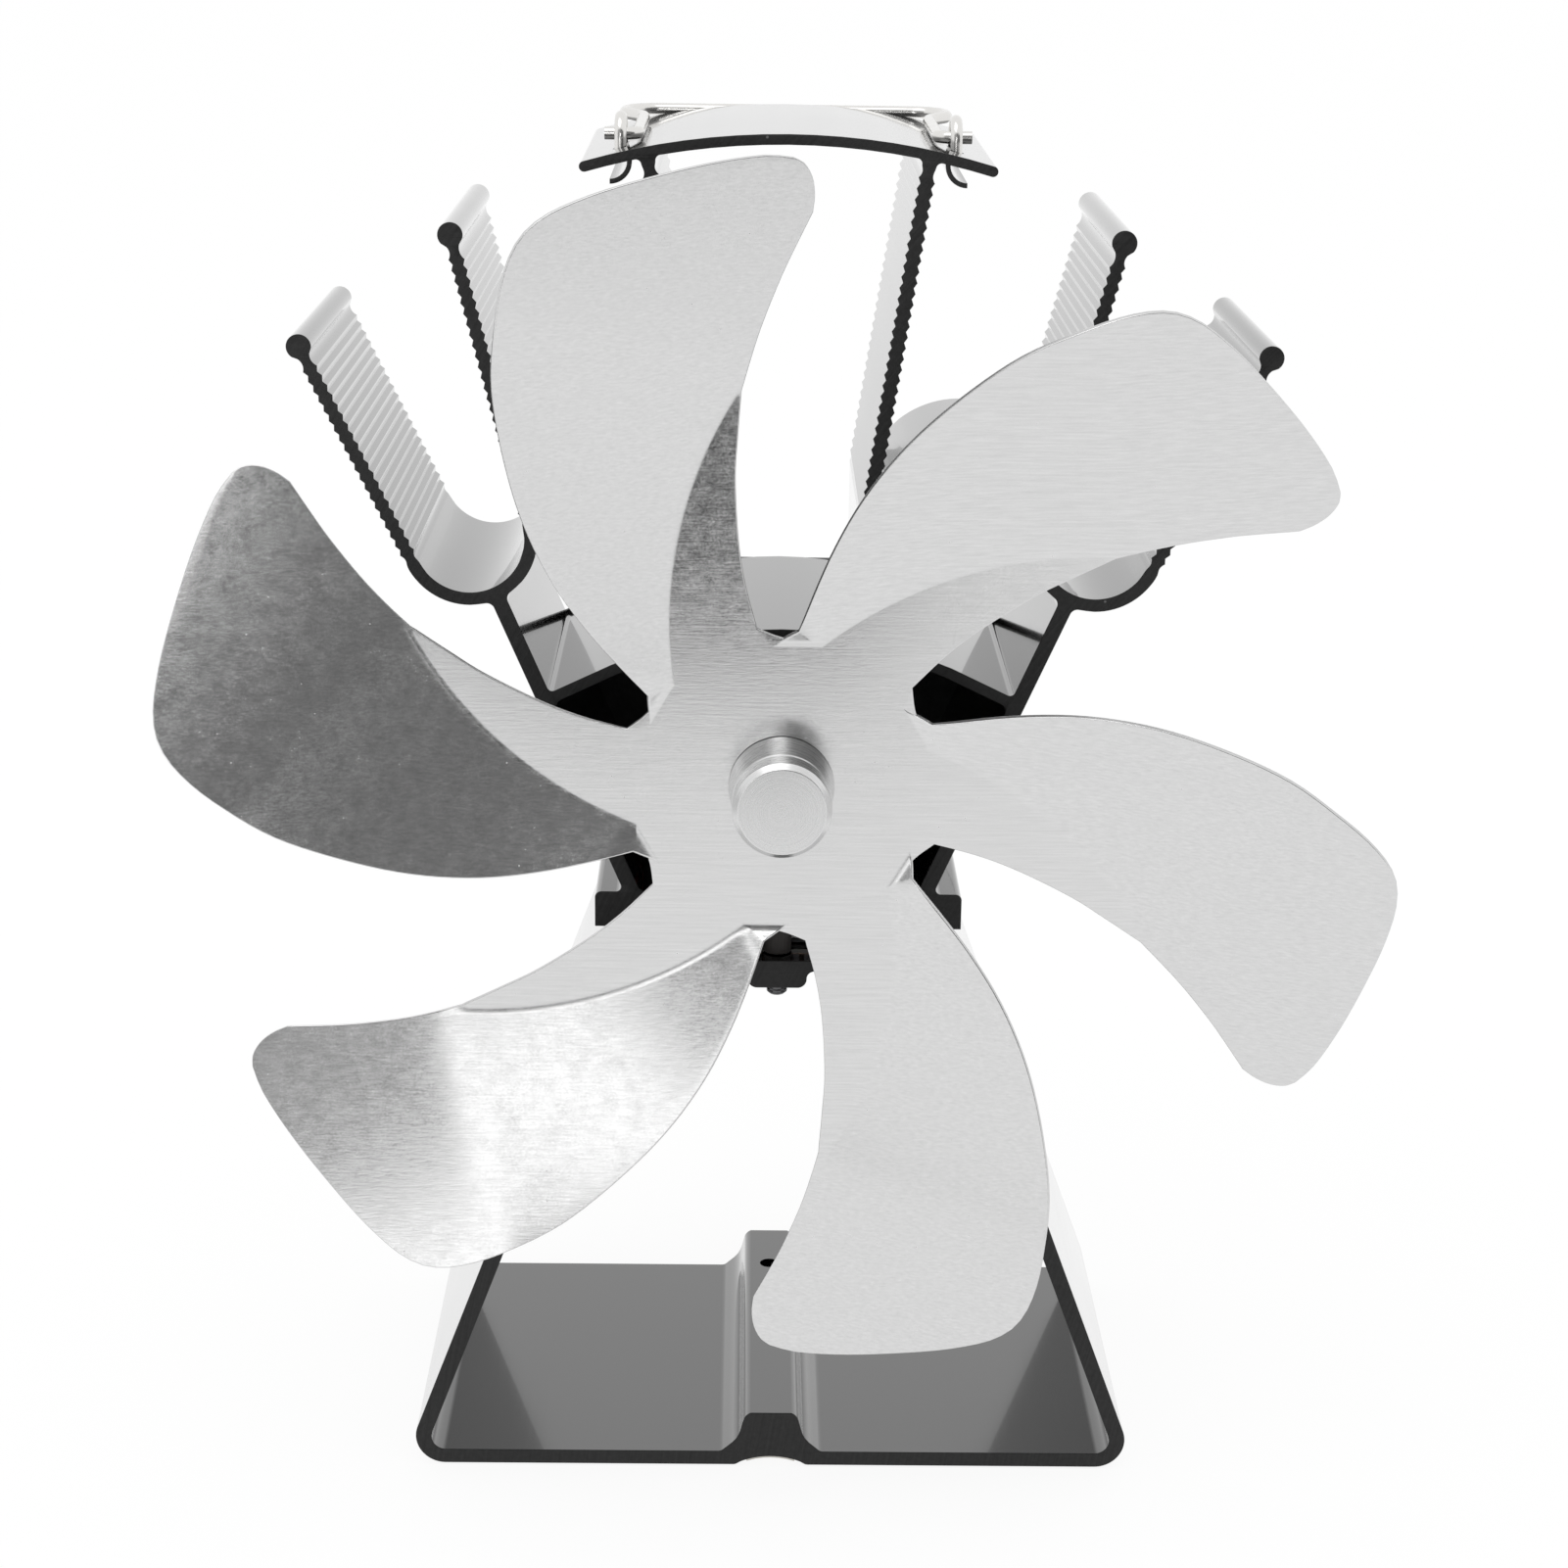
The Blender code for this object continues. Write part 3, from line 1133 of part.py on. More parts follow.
# Impeller: one pressed sheet, each blade creased along a bow and pitched forward beyond it
def blade_faces():
    """Faces of one blade and its share of the hub, as lists of points."""
    right, left = blade_rails()
    corner = smooth_rail([blade_point(p) for p in TIP_CORNER_SHARES], BLADE_COLUMNS + 1)
    rows = []
    for i, (crease_side, edge_side) in enumerate(zip(right, left)):
        row = [crease_side.lerp(edge_side, j / BLADE_COLUMNS) for j in range(BLADE_COLUMNS + 1)]
        if i == len(right) - 1:
            row = list(reversed(corner))
        rows.append([pitched(point) for point in row])
    faces = []
    for low, high in zip(rows, rows[1:]):
        for j in range(BLADE_COLUMNS):
            faces.append([low[j], low[j + 1], high[j + 1], high[j]])

    flat = [Vector((p.x, 0, p.y)) for p in right[: BLADE_ROWS + 1]]
    edge_shares = [blade_point(p) for p in LOWER_EDGE_SHARES] + [CREASE_END]
    edge = [Vector((p.x, 0, p.y)) for p in smooth_rail(edge_shares, BLADE_ROWS + 1)]
    for i in range(BLADE_ROWS - 1):
        faces.append([edge[i], flat[i], flat[i + 1], edge[i + 1]])
    faces.append([edge[-2], flat[-2], flat[-1]])

    gusset = blade_point(GUSSET_INNER_SHARES)
    gusset = Vector((gusset.x, 0, gusset.y))
    faces.append([gusset, *reversed(rows[0])])
    notch = [Vector((blade_point(p).x, 0, blade_point(p).y)) for p in NOTCH_SHARES]
    return faces, [gusset, flat[0], edge[0], *notch]


def turned_by(point, sector):
    """A point turned clockwise, seen from the front, by a number of blades."""
    angle = math.tau * sector / BLADES
    return Vector((
        point.x * math.cos(angle) + point.z * math.sin(angle),
        point.y,
        point.z * math.cos(angle) - point.x * math.sin(angle),
    ))


def impeller_mesh():
    """The open sheet of all blades round the hub's bore."""
    work = bmesh.new()
    faces, rim = blade_faces()
    bore = SPIGOT_RADIUS + GAP
    start = math.degrees(math.atan2(rim[0].z, rim[0].x))
    hole = [Vector((x, 0, z)) for x, z in arc((0, 0), bore, start - 360 / BLADES, start)]
    rim.append(turned_by(rim[0], 1))
    for sector in range(BLADES):
        for face in [*faces, rim + hole]:
            work.faces.new([work.verts.new(turned_by(point, sector)) for point in face])
    bmesh.ops.remove_doubles(work, verts=work.verts, dist=GAP * WELD_SHARE)
    bmesh.ops.recalc_face_normals(work, faces=work.faces)
    if sum(face.normal.y * face.calc_area() for face in work.faces) > 0:
        bmesh.ops.reverse_faces(work, faces=work.faces)
    mesh = bpy.data.meshes.new("impeller")
    work.to_mesh(mesh)
    work.free()
    return shaded(mesh)


IMPELLER = add("impeller", impeller_mesh(), BRUSHED, parent=ROTOR)
sheet = IMPELLER.modifiers.new("sheet", "SOLIDIFY")
sheet.thickness = IMPELLER_WALL
sheet.offset = -1
sheet.use_even_offset = True


# Rear cover of the motor chamber, proud of the roof's flanks
def cover_outline():
    """Follows the arms and the roof, and laps over the flange."""
    flank = on_circle(ROOF, ROOF_RADIUS, 90 - ROOF_TURN)
    corner = roof_corner(flank)
    lift = COVER_PROUD * math.hypot(ROOF_SLOPE, 1)
    side_x = arm_x(corner[1] + lift, GAP)
    level = ROOF_TOP - COVER_TOP_DROP
    shoulder_x = corner[0] - (level - lift - corner[1]) / ROOF_SLOPE
    foot_z = FLANGE_TOP + WAIST_RADIUS + GAP
    half = [
        (shoulder_x, level, CHAMBER_CORNER),
        (side_x, corner[1] + lift - ROOF_SLOPE * (side_x - corner[0]), 0),
        (arm_x(foot_z, GAP), foot_z, 0),
        (arm_x(foot_z, GAP), FLANGE_TOP - COVER_LAP, CHAMBER_CORNER),
    ]
    return rounded(half + [(-x, z, radius) for x, z, radius in reversed(half)])


COVER_FRONT = SINK_DEPTH + GAP
COVER_BACK = COVER_FRONT + COVER_WALL
COVER_SCREW_Z = FLANGE_TOP - COVER_LAP / 2 + GAP
COVER = extrusion("rear_cover", [cover_outline()], COVER_FRONT, COVER_BACK, BLACK_STEEL)
for side_name, side in SIDES.items():
    x = side * COVER_SCREW_X
    hole_depth = COVER_SCREW_LENGTH + GAP
    cut(COVER, rod_cutter("cut_cover_screw_" + side_name, SCREW_HOLE, -OVERRUN, OVERRUN,
                          (x, (COVER_FRONT + COVER_BACK) / 2, COVER_SCREW_Z), AXIS_TO_FRONT))
    cut(SINK, rod_cutter("cut_sink_cover_screw_" + side_name, SCREW_HOLE, 0, hole_depth + OVERRUN,
                         (x, COVER_BACK + GAP - hole_depth, COVER_SCREW_Z), (-90, 0, 0)))
    add("cover_screw_" + side_name, screw_mesh(COVER_SCREW_LENGTH), BRIGHT_STEEL,
        location=(x, COVER_BACK + GAP, COVER_SCREW_Z), rotation=(-90, 0, 0))


# Leads: from the module's core, up through the chamber's floor to the motor's terminals
def lead_points(side):
    """Smooth route of one lead."""
    core_z = SINK_BOTTOM / 2
    start_y = SINK_MIDDLE_Y + MODULE_SIDE / 2 - MODULE_CORE_INSET + GAP
    rise_y = SINK_DEPTH - LEAD_RISE_INSET
    end_y = MOTOR_FRONT_Y - CAP_BACK + GAP + TERMINAL_LENGTH + GAP
    x = side * LEAD_OFFSET
    end_x = side * TERMINAL_OFFSET
    bend = LEAD_RADIUS * 4
    flat = [Vector(p) for p in (
        (x, start_y, core_z), (x, rise_y - bend, core_z), (x, rise_y, SINK_BOTTOM),
        (x, rise_y, FLANGE_TOP), (x, rise_y, (FLANGE_TOP + HUB_Z) / 2),
        (end_x, rise_y, HUB_Z - bend), (end_x, end_y + bend / 2, HUB_Z), (end_x, end_y, HUB_Z),
    )]
    return smooth_rail(flat, LEAD_STEPS)


LEAD_STEPS = 18
for lead_name, side, finish in (("lead_red", -1, RED_COVER), ("lead_black", 1, BLACK_COVER)):
    add(lead_name, tube(lead_points(side), LEAD_RADIUS, 2), finish)
    cut(SINK, rod_cutter("cut_sink_" + lead_name, LEAD_HOLE_RADIUS, SINK_BOTTOM - OVERRUN,
                         FLANGE_TOP + OVERRUN, (side * LEAD_OFFSET, SINK_DEPTH - LEAD_RISE_INSET, 0)))


# Staples in the top plate, and the bail that turns in them
STAPLE_BEND = plate_z(STAPLE_X) + STAPLE_RISE - STAPLE_RADIUS - STAPLE_HALF
STAPLE_FOOT = plate_z(STAPLE_X, PLATE_UNDER_RADIUS) + STAPLE_FOOT_DROP
for side_name, side in SIDES.items():
    bow = arc((BAIL_PIVOT_INSET, STAPLE_BEND), STAPLE_HALF, 0, 180, 22.5)
    legs = [(BAIL_PIVOT_INSET + STAPLE_HALF, STAPLE_FOOT), *bow, (BAIL_PIVOT_INSET - STAPLE_HALF, STAPLE_FOOT)]
    add("bail_staple_" + side_name, tube([(side * STAPLE_X, y, z) for y, z in legs], STAPLE_RADIUS, 2),
        SPRING_WIRE)
    for leg_name, leg in (("front", -1), ("rear", 1)):
        cut(SINK, rod_cutter("cut_plate_" + side_name + "_" + leg_name, STAPLE_RADIUS + GAP,
                             plate_z(STAPLE_X, PLATE_UNDER_RADIUS) - GAP, plate_z(STAPLE_X) + OVERRUN,
                             (side * STAPLE_X, BAIL_PIVOT_INSET + leg * STAPLE_HALF, 0)))

BAIL_PIVOT = bpy.data.objects.new("bail_pivot", None)
BAIL_PIVOT.parent = UPPER
BAIL_PIVOT.location = (0, BAIL_PIVOT_INSET, plate_z(BAIL_LEG_X) + BAIL_RADIUS + GAP)
PARTS.objects.link(BAIL_PIVOT)


def bail_points():
    """Flat route of the wire: ends outward in the staples, legs back, flared corners."""
    back = SINK_DEPTH + GAP + BAIL_RADIUS - BAIL_PIVOT_INSET
    half = [
        (BAIL_END_X, 0, 0),
        (BAIL_LEG_X, 0, BAIL_BEND),
        (BAIL_LEG_X, back - BAIL_FLARE_START, BAIL_FLARE_BEND),
        (BAIL_CORNER_X, back - BAIL_FLARE_END, BAIL_FLARE_BEND),
        (BAIL_CORNER_X, back, BAIL_CORNER_BEND),
    ]
    whole = half + [(-x, y, radius) for x, y, radius in reversed(half)]
    points = [whole[0][:2]]
    for before, here, after in zip(whole, whole[1:], whole[2:]):
        points += round_corner(before[:2], here[:2], after[:2], here[2])
    return [(x, y, 0) for x, y in points + [whole[-1][:2]]]


add("bail_handle", tube(bail_points(), BAIL_RADIUS, 2), SPRING_WIRE, parent=BAIL_PIVOT)
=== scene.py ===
"""Looks of a heat-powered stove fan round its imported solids, in metres with Z up and the front towards -Y.

The file follows the fan as it is put together: studio, base, bimetal strip, module, heat sink, clamps,
motor bracket, motor, shaft and armature, leads, rear cover, impeller, hub, and the wire bail on top.
"""

import math

import bmesh
import bpy
from mathutils import Matrix, Vector


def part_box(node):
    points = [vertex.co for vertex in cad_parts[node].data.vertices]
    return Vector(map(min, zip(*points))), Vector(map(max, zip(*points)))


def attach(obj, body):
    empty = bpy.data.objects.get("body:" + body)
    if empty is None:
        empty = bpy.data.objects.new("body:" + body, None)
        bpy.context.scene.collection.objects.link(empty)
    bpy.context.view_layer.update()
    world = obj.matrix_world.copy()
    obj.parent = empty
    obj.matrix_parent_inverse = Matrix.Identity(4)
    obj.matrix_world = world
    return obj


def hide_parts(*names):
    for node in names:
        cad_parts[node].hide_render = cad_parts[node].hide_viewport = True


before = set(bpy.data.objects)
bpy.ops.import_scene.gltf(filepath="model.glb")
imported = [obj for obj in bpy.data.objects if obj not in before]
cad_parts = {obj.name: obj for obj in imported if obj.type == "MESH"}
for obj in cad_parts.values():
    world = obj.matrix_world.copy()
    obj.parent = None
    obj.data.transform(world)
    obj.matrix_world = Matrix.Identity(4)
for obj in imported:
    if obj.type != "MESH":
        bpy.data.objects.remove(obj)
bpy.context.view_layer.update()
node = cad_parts

# The studio: white paper and a white backdrop, with a soft lamp above. Upright boards ahead of the fan
# stand for the dim room behind the lens, the lens's stand and the windows beside it. The polished sheet
# and the glossy black metal show them more than their own colour.
LENS, FRAME_WIDTH = 70.45, 36  # mm
LENS_PLACE = (-0.0073, -0.57993, 0.3214)
LENS_TURNS = (-17.54, 0.83, 0.84)  # degrees of pitch, yaw and roll
ROOM_AHEAD = 1.25  # from the fan's middle to the room behind the lens
PLAIN_WHITE = 0.86  # share of unshaded white in the paper as the lens sees it

scene = bpy.context.scene
camera_data = bpy.data.cameras.new("camera")
camera_data.sensor_width = FRAME_WIDTH
camera_data.lens = LENS
camera = bpy.data.objects.new("camera", camera_data)
scene.collection.objects.link(camera)
pitch, yaw, roll = (math.radians(angle) for angle in LENS_TURNS)
forward = Vector((math.sin(yaw) * math.cos(pitch), math.cos(yaw) * math.cos(pitch), math.sin(pitch)))
level = Vector((math.cos(yaw), -math.sin(yaw), 0))
upright = level.cross(forward)
across = level * math.cos(roll) + upright * math.sin(roll)
up = upright * math.cos(roll) - level * math.sin(roll)
turned = Matrix((across, up, -forward)).transposed().to_4x4()
camera.matrix_world = Matrix.Translation(LENS_PLACE) @ turned
scene.camera = camera
scene.view_settings.view_transform = "Standard"


class Pen:
    """Draws a node tree: adds nodes, sets their sockets and links them."""

    def __init__(self, tree):
        self.tree = tree

    def add(self, kind, inputs=None, **settings):
        """A new node, its inputs set or linked."""
        made = self.tree.nodes.new(kind)
        for name, value in settings.items():
            setattr(made, name, value)
        for name, value in (inputs or {}).items():
            self.join(value, made.inputs[name])
        return made

    def join(self, value, socket):
        """Links a value to a socket, or sets it there."""
        if isinstance(value, bpy.types.NodeSocket):
            self.tree.links.new(value, socket)
        else:
            socket.default_value = value

    def math(self, operation, *values):
        """What an operation makes of values."""
        return self.add("ShaderNodeMath", dict(enumerate(values)), operation=operation).outputs[0]

    def plus(self, a, b):
        return self.math("ADD", a, b)

    def times(self, a, b):
        return self.math("MULTIPLY", a, b)

    def vector(self, x, y, z):
        return self.add("ShaderNodeCombineXYZ", {0: x, 1: y, 2: z}).outputs[0]

    def between(self, share, low, high):
        """A value that goes from low to high with a share."""
        made = self.add("ShaderNodeMapRange", {"Value": share, "To Min": low, "To Max": high})
        return made.outputs["Result"]

    def above(self, value, start, end):
        """A mask that is 0 below start and 1 above end."""
        made = self.add("ShaderNodeMapRange", {"Value": value, "From Min": start, "From Max": end})
        return made.outputs["Result"]


def seen_directly(pen):
    """A mask of the rays that show the white background: the lens's, mirrored and let through."""
    path = pen.add("ShaderNodeLightPath").outputs
    most = pen.math("MAXIMUM", path["Is Camera Ray"], path["Is Glossy Ray"])
    return pen.math("MAXIMUM", most, path["Is Transmission Ray"])


def studio_board(name, ahead, shade, *corners):
    """A flat upright board ahead of the fan, its corners in X and Z, that only mirrored rays meet."""
    mesh = bpy.data.meshes.new(name)
    mesh.from_pydata([(x, -ahead, z) for x, z in corners], [], [range(len(corners))])
    board = bpy.data.objects.new(name, mesh)
    scene.collection.objects.link(board)
    board.visible_camera = board.visible_diffuse = board.visible_shadow = False
    board.visible_transmission = False
    paint = bpy.data.materials.new(name)
    paint.use_nodes = True
    pen = Pen(paint.node_tree)
    glow = pen.add("ShaderNodeEmission", {"Color": (shade, shade, shade, 1)})
    pen.join(glow.outputs[0], paint.node_tree.nodes["Material Output"].inputs["Surface"])
    mesh.materials.append(paint)


world = bpy.data.worlds.new("surround")
scene.world = world
world.use_nodes = True
pen = Pen(world.node_tree)
backdrop = world.node_tree.nodes["Background"].inputs
pen.join(pen.between(seen_directly(pen), 0.85, 1.0), backdrop["Strength"])
pen.join((1, 1, 1, 1), backdrop["Color"])

floor_mesh = bpy.data.meshes.new("floor")
floor_mesh.from_pydata([(-9, -3, 0), (9, -3, 0), (9, 30, 0), (-9, 30, 0)], [], [(0, 1, 2, 3)])
floor = bpy.data.objects.new("floor", floor_mesh)
floor.location.z = -0.0005  # a hair under the fan's feet
scene.collection.objects.link(floor)
paper = bpy.data.materials.new("white paper")
paper.use_nodes = True
pen = Pen(paper.node_tree)
matt = pen.add("ShaderNodeBsdfDiffuse", {"Color": (0.8, 0.8, 0.8, 1)})
white = pen.add("ShaderNodeEmission", {"Color": (1, 1, 1, 1), "Strength": 1.05})
share = pen.times(seen_directly(pen), PLAIN_WHITE)
mixed = pen.add("ShaderNodeMixShader", {0: share, 1: matt.outputs[0], 2: white.outputs[0]})
pen.join(mixed.outputs[0], paper.node_tree.nodes["Material Output"].inputs["Surface"])
floor_mesh.materials.append(paper)

studio_board("dark_room", ROOM_AHEAD, 0.18, (-0.1, 0.06), (2.6, 0.06), (2.6, 1.3), (-0.1, 1.3))
studio_board("dim_room", ROOM_AHEAD, 0.38, (-1.6, 0.06), (-0.1, 0.06), (-0.1, 1.3), (-1.6, 1.3))
studio_board("lens_stand", 0.63, 0.08, (-0.12, 0.02), (0.045, 0.02), (0.045, 0.2), (-0.12, 0.2))
studio_board(
    "low_window", 0.65, 1.75,
    (-0.34, 0.1), (-0.04, 0.1), (-0.04, 0.32), (-0.19, 0.32), (-0.21, 0.21), (-0.34, 0.16))
studio_board(
    "window_edge", 0.66, 0.36,
    (-0.42, 0.1), (-0.04, 0.1), (-0.04, 0.35), (-0.23, 0.35), (-0.27, 0.25), (-0.42, 0.2))
studio_board("high_window", 0.66, 4.0, (-0.08, 0.37), (0.04, 0.37), (0.04, 0.48), (-0.08, 0.48))

lamp = bpy.data.lights.new("top_lamp", "AREA")
lamp.size = 0.9
lamp.energy = 2.5
top_lamp = bpy.data.objects.new("top_lamp", lamp)
top_lamp.location = (-0.3, -0.4, 1.4)
aim = Vector((0, 0, 0.15)) - top_lamp.location
top_lamp.rotation_euler = aim.to_track_quat("-Z", "Y").to_euler()
top_lamp.visible_camera = False
scene.collection.objects.link(top_lamp)

# The base: one aluminium extrusion, an inverted V with rolled feet and a boss under its top, sawn to
# length and black anodised. It stands free on the stove, so its sawn ends show their wall.
EDGE_BREAK = 0.00015  # what tumbling takes off a sawn edge
TOUCHING = 1e-6  # points nearer than this are one
ARC_STEP = math.radians(4.5)
STRAIGHT = 2.2  # times as long as its neighbour, a chord is a straight beside an arc
END_FACING = 0.2  # share of Y in a face's normal from which it counts as sawn
BASE_CORNER = 40  # degrees from which the section has a corner and no arc
CLAMPS_Y = (-0.01893, 0.02957)
CLAMP_HOLE = 0.0023
BOSS = (0.1030, 0.1120)  # heights that a drill through the boss passes
RIVET_Y = 0.04337
RIVET_HOLE = 0.0021
RIDGE = (-0.001, 0.0120)  # heights that a drill through the ridge passes
DRAWN_OUT = 0.006  # a die line changes this much slower along the extrusion than across it
SAW_X, SAW_Z = 0.35, -0.05  # where the saw's axis stood


def front_loops(solid):
    """Closed outlines, in X and Z, of the front face of an extruded solid."""
    mesh = bmesh.new()
    mesh.from_mesh(solid.data)
    bmesh.ops.remove_doubles(mesh, verts=mesh.verts, dist=TOUCHING)
    front = min(vertex.co.y for vertex in mesh.verts) + TOUCHING
    cap = {face for face in mesh.faces if all(vertex.co.y < front for vertex in face.verts)}
    rim = {edge for edge in mesh.edges if sum(face in cap for face in edge.link_faces) == 1}
    loops = []
    while rim:
        edge = rim.pop()
        first, here = edge.verts
        loop = [first]
        while here != first:
            loop.append(here)
            edge = next(near for near in here.link_edges if near in rim)
            rim.discard(edge)
            here = edge.other_vert(here)
        loops.append([Vector((vertex.co.x, vertex.co.z)) for vertex in loop])
    mesh.free()
    return loops


def way_through(before, here, after, corner):
    """The way a smooth outline goes through a point, or None at a corner."""
    into, out = here - before, after - here
    if into.angle(out) > corner:
        return None
    if into.length > STRAIGHT * out.length:
        return into.normalized()
    if out.length > STRAIGHT * into.length:
        return out.normalized()
    return (into / into.length_squared + out / out.length_squared).normalized()


def finer(loop, corner):
    """An outline with its arcs drawn in steps of a few degrees."""
    ways = [way_through(a, b, c, corner) for a, b, c in zip(loop[-1:] + loop, loop, loop[1:] + loop[:1])]
    points = []
    for start, end, leave, arrive in zip(loop, loop[1:] + loop[:1], ways, ways[1:] + ways[:1]):
        points.append(start)
        chord = end - start
        if not leave and not arrive:
            continue
        line = chord.normalized()
        leave = leave or 2 * line * line.dot(arrive) - arrive
        arrive = arrive or 2 * line * line.dot(leave) - leave
        count = math.ceil(leave.angle(arrive) / ARC_STEP)
        for i in range(1, count):
            t = i / count
            points.append(
                start * (1 - 3 * t**2 + 2 * t**3) + end * (3 * t**2 - 2 * t**3)
                + leave * chord.length * (t - 2 * t**2 + t**3) + arrive * chord.length * (t**3 - t**2)
            )
    return points


def evaluated(piece):
    """The mesh that an object's modifiers or its curve make."""
    scene.collection.objects.link(piece)
    bpy.context.view_layer.update()
    mesh = bpy.data.meshes.new_from_object(piece.evaluated_get(bpy.context.evaluated_depsgraph_get()))
    bpy.data.objects.remove(piece)
    return mesh


def trace(curve, points):
    """A line through points, added to a curve."""
    line = curve.splines.new("POLY")
    line.points.add(len(points) - 1)
    for target, point in zip(line.points, points):
        target.co = (*point, 1)
    return line


def sawn_length(solid, corner):
    """Mesh of an extrusion with a solid's section, its arcs finer up to the turn of a corner in degrees.

    Its sawn ends and broken edges take slot 1.
    """
    low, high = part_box(solid.name)
    curve = bpy.data.curves.new("section", "CURVE")
    curve.dimensions = "2D"
    curve.fill_mode = "BOTH"
    curve.extrude = (high.y - low.y) / 2 - EDGE_BREAK
    curve.bevel_depth = EDGE_BREAK
    curve.bevel_resolution = 1
    curve.offset = -EDGE_BREAK
    for loop in front_loops(solid):
        trace(curve, [point.to_3d() for point in finer(loop, math.radians(corner))]).use_cyclic_u = True
    mesh = evaluated(bpy.data.objects.new("section", curve))
    upright = Matrix.Rotation(math.radians(90), 4, "X")
    mesh.transform(Matrix.Translation((0, (low.y + high.y) / 2, 0)) @ upright)
    work = bmesh.new()
    work.from_mesh(mesh)
    bmesh.ops.remove_doubles(work, verts=work.verts, dist=TOUCHING)
    for face in work.faces:
        face.material_index = int(abs(face.normal.y) > END_FACING)
    work.to_mesh(mesh)
    work.free()
    return mesh


def meshed(work, name):
    """A new mesh from a bmesh that is done with."""
    mesh = bpy.data.meshes.new(name)
    work.to_mesh(mesh)
    work.free()
    return mesh


def rods(places):
    """Round rods from one point to another, each with its radius, as one mesh."""
    work = bmesh.new()
    for start, end, radius in places:
        start, end = Vector(start), Vector(end)
        turn = (end - start).to_track_quat("Z", "Y").to_matrix().to_4x4()
        place = Matrix.Translation((start + end) / 2) @ turn
        bmesh.ops.create_cone(work, cap_ends=True, segments=32, radius1=radius, radius2=radius,
                              depth=(end - start).length, matrix=place)
    return meshed(work, "rods")


def drill(x, y, heights, radius):
    """The rod that an upright drill takes out between two heights."""
    low, high = heights
    return (x, y, low), (x, y, high), radius


def minus(mesh, cutter):
    """A mesh with another one cut out of it."""
    tool = bpy.data.objects.new("tool", cutter)
    scene.collection.objects.link(tool)
    piece = bpy.data.objects.new("cut", mesh)
    cut = piece.modifiers.new("cut", "BOOLEAN")
    cut.object = tool
    result = evaluated(piece)
    bpy.data.objects.remove(tool)
    return result


def shown(name, mesh, body, *replaced, finishes=(), turn=30):
    """A finished mesh as a piece that rides on a body and stands for its solids.

    Edges that turn by more than the given degrees stay sharp.
    """
    mesh.shade_smooth()
    mesh.set_sharp_from_angle(angle=math.radians(turn))
    shading = bpy.data.objects.new("shading", mesh)
    even = shading.modifiers.new("even", "WEIGHTED_NORMAL")
    even.weight = 75
    even.keep_sharp = True
    mesh = evaluated(shading)
    piece = bpy.data.objects.new(name, mesh)
    scene.collection.objects.link(piece)
    for slot, finish in enumerate(finishes):
        if slot < len(mesh.materials):
            mesh.materials[slot] = finish
        else:
            mesh.materials.append(finish)
    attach(piece, body)
    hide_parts(*replaced)


class SurfacePen(Pen):
    """Draws what lies on a surface, from the place of each of its points."""

    def __init__(self, tree, place=None):
        super().__init__(tree)
        self.place = self.add("ShaderNodeTexCoord").outputs["Object"] if place is None else place

    def noise(self, scale, detail=2.0):
        """Noise of a scale, or of one scale for each axis."""
        place = self.place
        if isinstance(scale, tuple):
            place = self.add("ShaderNodeMapping", {"Vector": place, "Scale": scale}).outputs[0]
            scale = 1.0
        made = self.add("ShaderNodeTexNoise", {"Vector": place, "Scale": scale, "Detail": detail})
        return made.outputs["Fac"]

    def parts(self):
        """The place's X, Y and Z."""
        return self.add("ShaderNodeSeparateXYZ", {0: self.place}).outputs

    def reach(self, a, b):
        """How far a place is from an axis, from its two offsets."""
        return self.math("SQRT", self.plus(self.times(a, a), self.times(b, b)))

    def use(self, group, **inputs):
        """What a group of nodes gives at each place."""
        return self.add("ShaderNodeGroup", {"Place": self.place, **inputs}, node_tree=group).outputs

    def paint(self, socket, value):
        """Sets or links a socket of the material's Principled shader."""
        self.join(value, self.tree.nodes["Principled BSDF"].inputs[socket])

    def rough(self, share, low, high):
        """Roughness that goes from low to high with a share."""
        self.paint("Roughness", self.between(share, low, high))

    def grey(self, tone):
        """A grey of a tone for the material's colour."""
        made = self.add("ShaderNodeCombineColor", {0: tone, 1: tone, 2: tone})
        self.paint("Base Color", made.outputs[0])

    def bump(self, height, strength, distance=0.00005):
        """Bumps of a height."""
        made = self.add("ShaderNodeBump", {"Height": height, "Strength": strength, "Distance": distance})
        self.paint("Normal", made.outputs[0])


def metal_or_paint(name, colour, roughness, **sockets):
    """A Principled material of a mean colour and roughness, and the pen that draws what varies in it."""
    made = bpy.data.materials.new(name)
    made.use_nodes = True
    pen = SurfacePen(made.node_tree)
    for socket, value in {"Base Color": (*colour, 1), "Roughness": roughness, **sockets}.items():
        pen.paint(socket.replace("_", " "), value)
    return made, pen


def effect(name, inputs, *outputs):
    """A group of shader nodes, its pen, what it is given and what it gives."""
    tree = bpy.data.node_groups.new(name, "ShaderNodeTree")
    tree.interface.new_socket("Place", in_out="INPUT", socket_type="NodeSocketVector")
    for socket, value in inputs.items():
        made = tree.interface.new_socket(socket, in_out="INPUT", socket_type="NodeSocketFloat")
        made.default_value = value
    for socket in outputs:
        tree.interface.new_socket(socket, in_out="OUTPUT", socket_type="NodeSocketFloat")
    given = tree.nodes.new("NodeGroupInput").outputs
    return tree, SurfacePen(tree, given["Place"]), given, tree.nodes.new("NodeGroupOutput").inputs


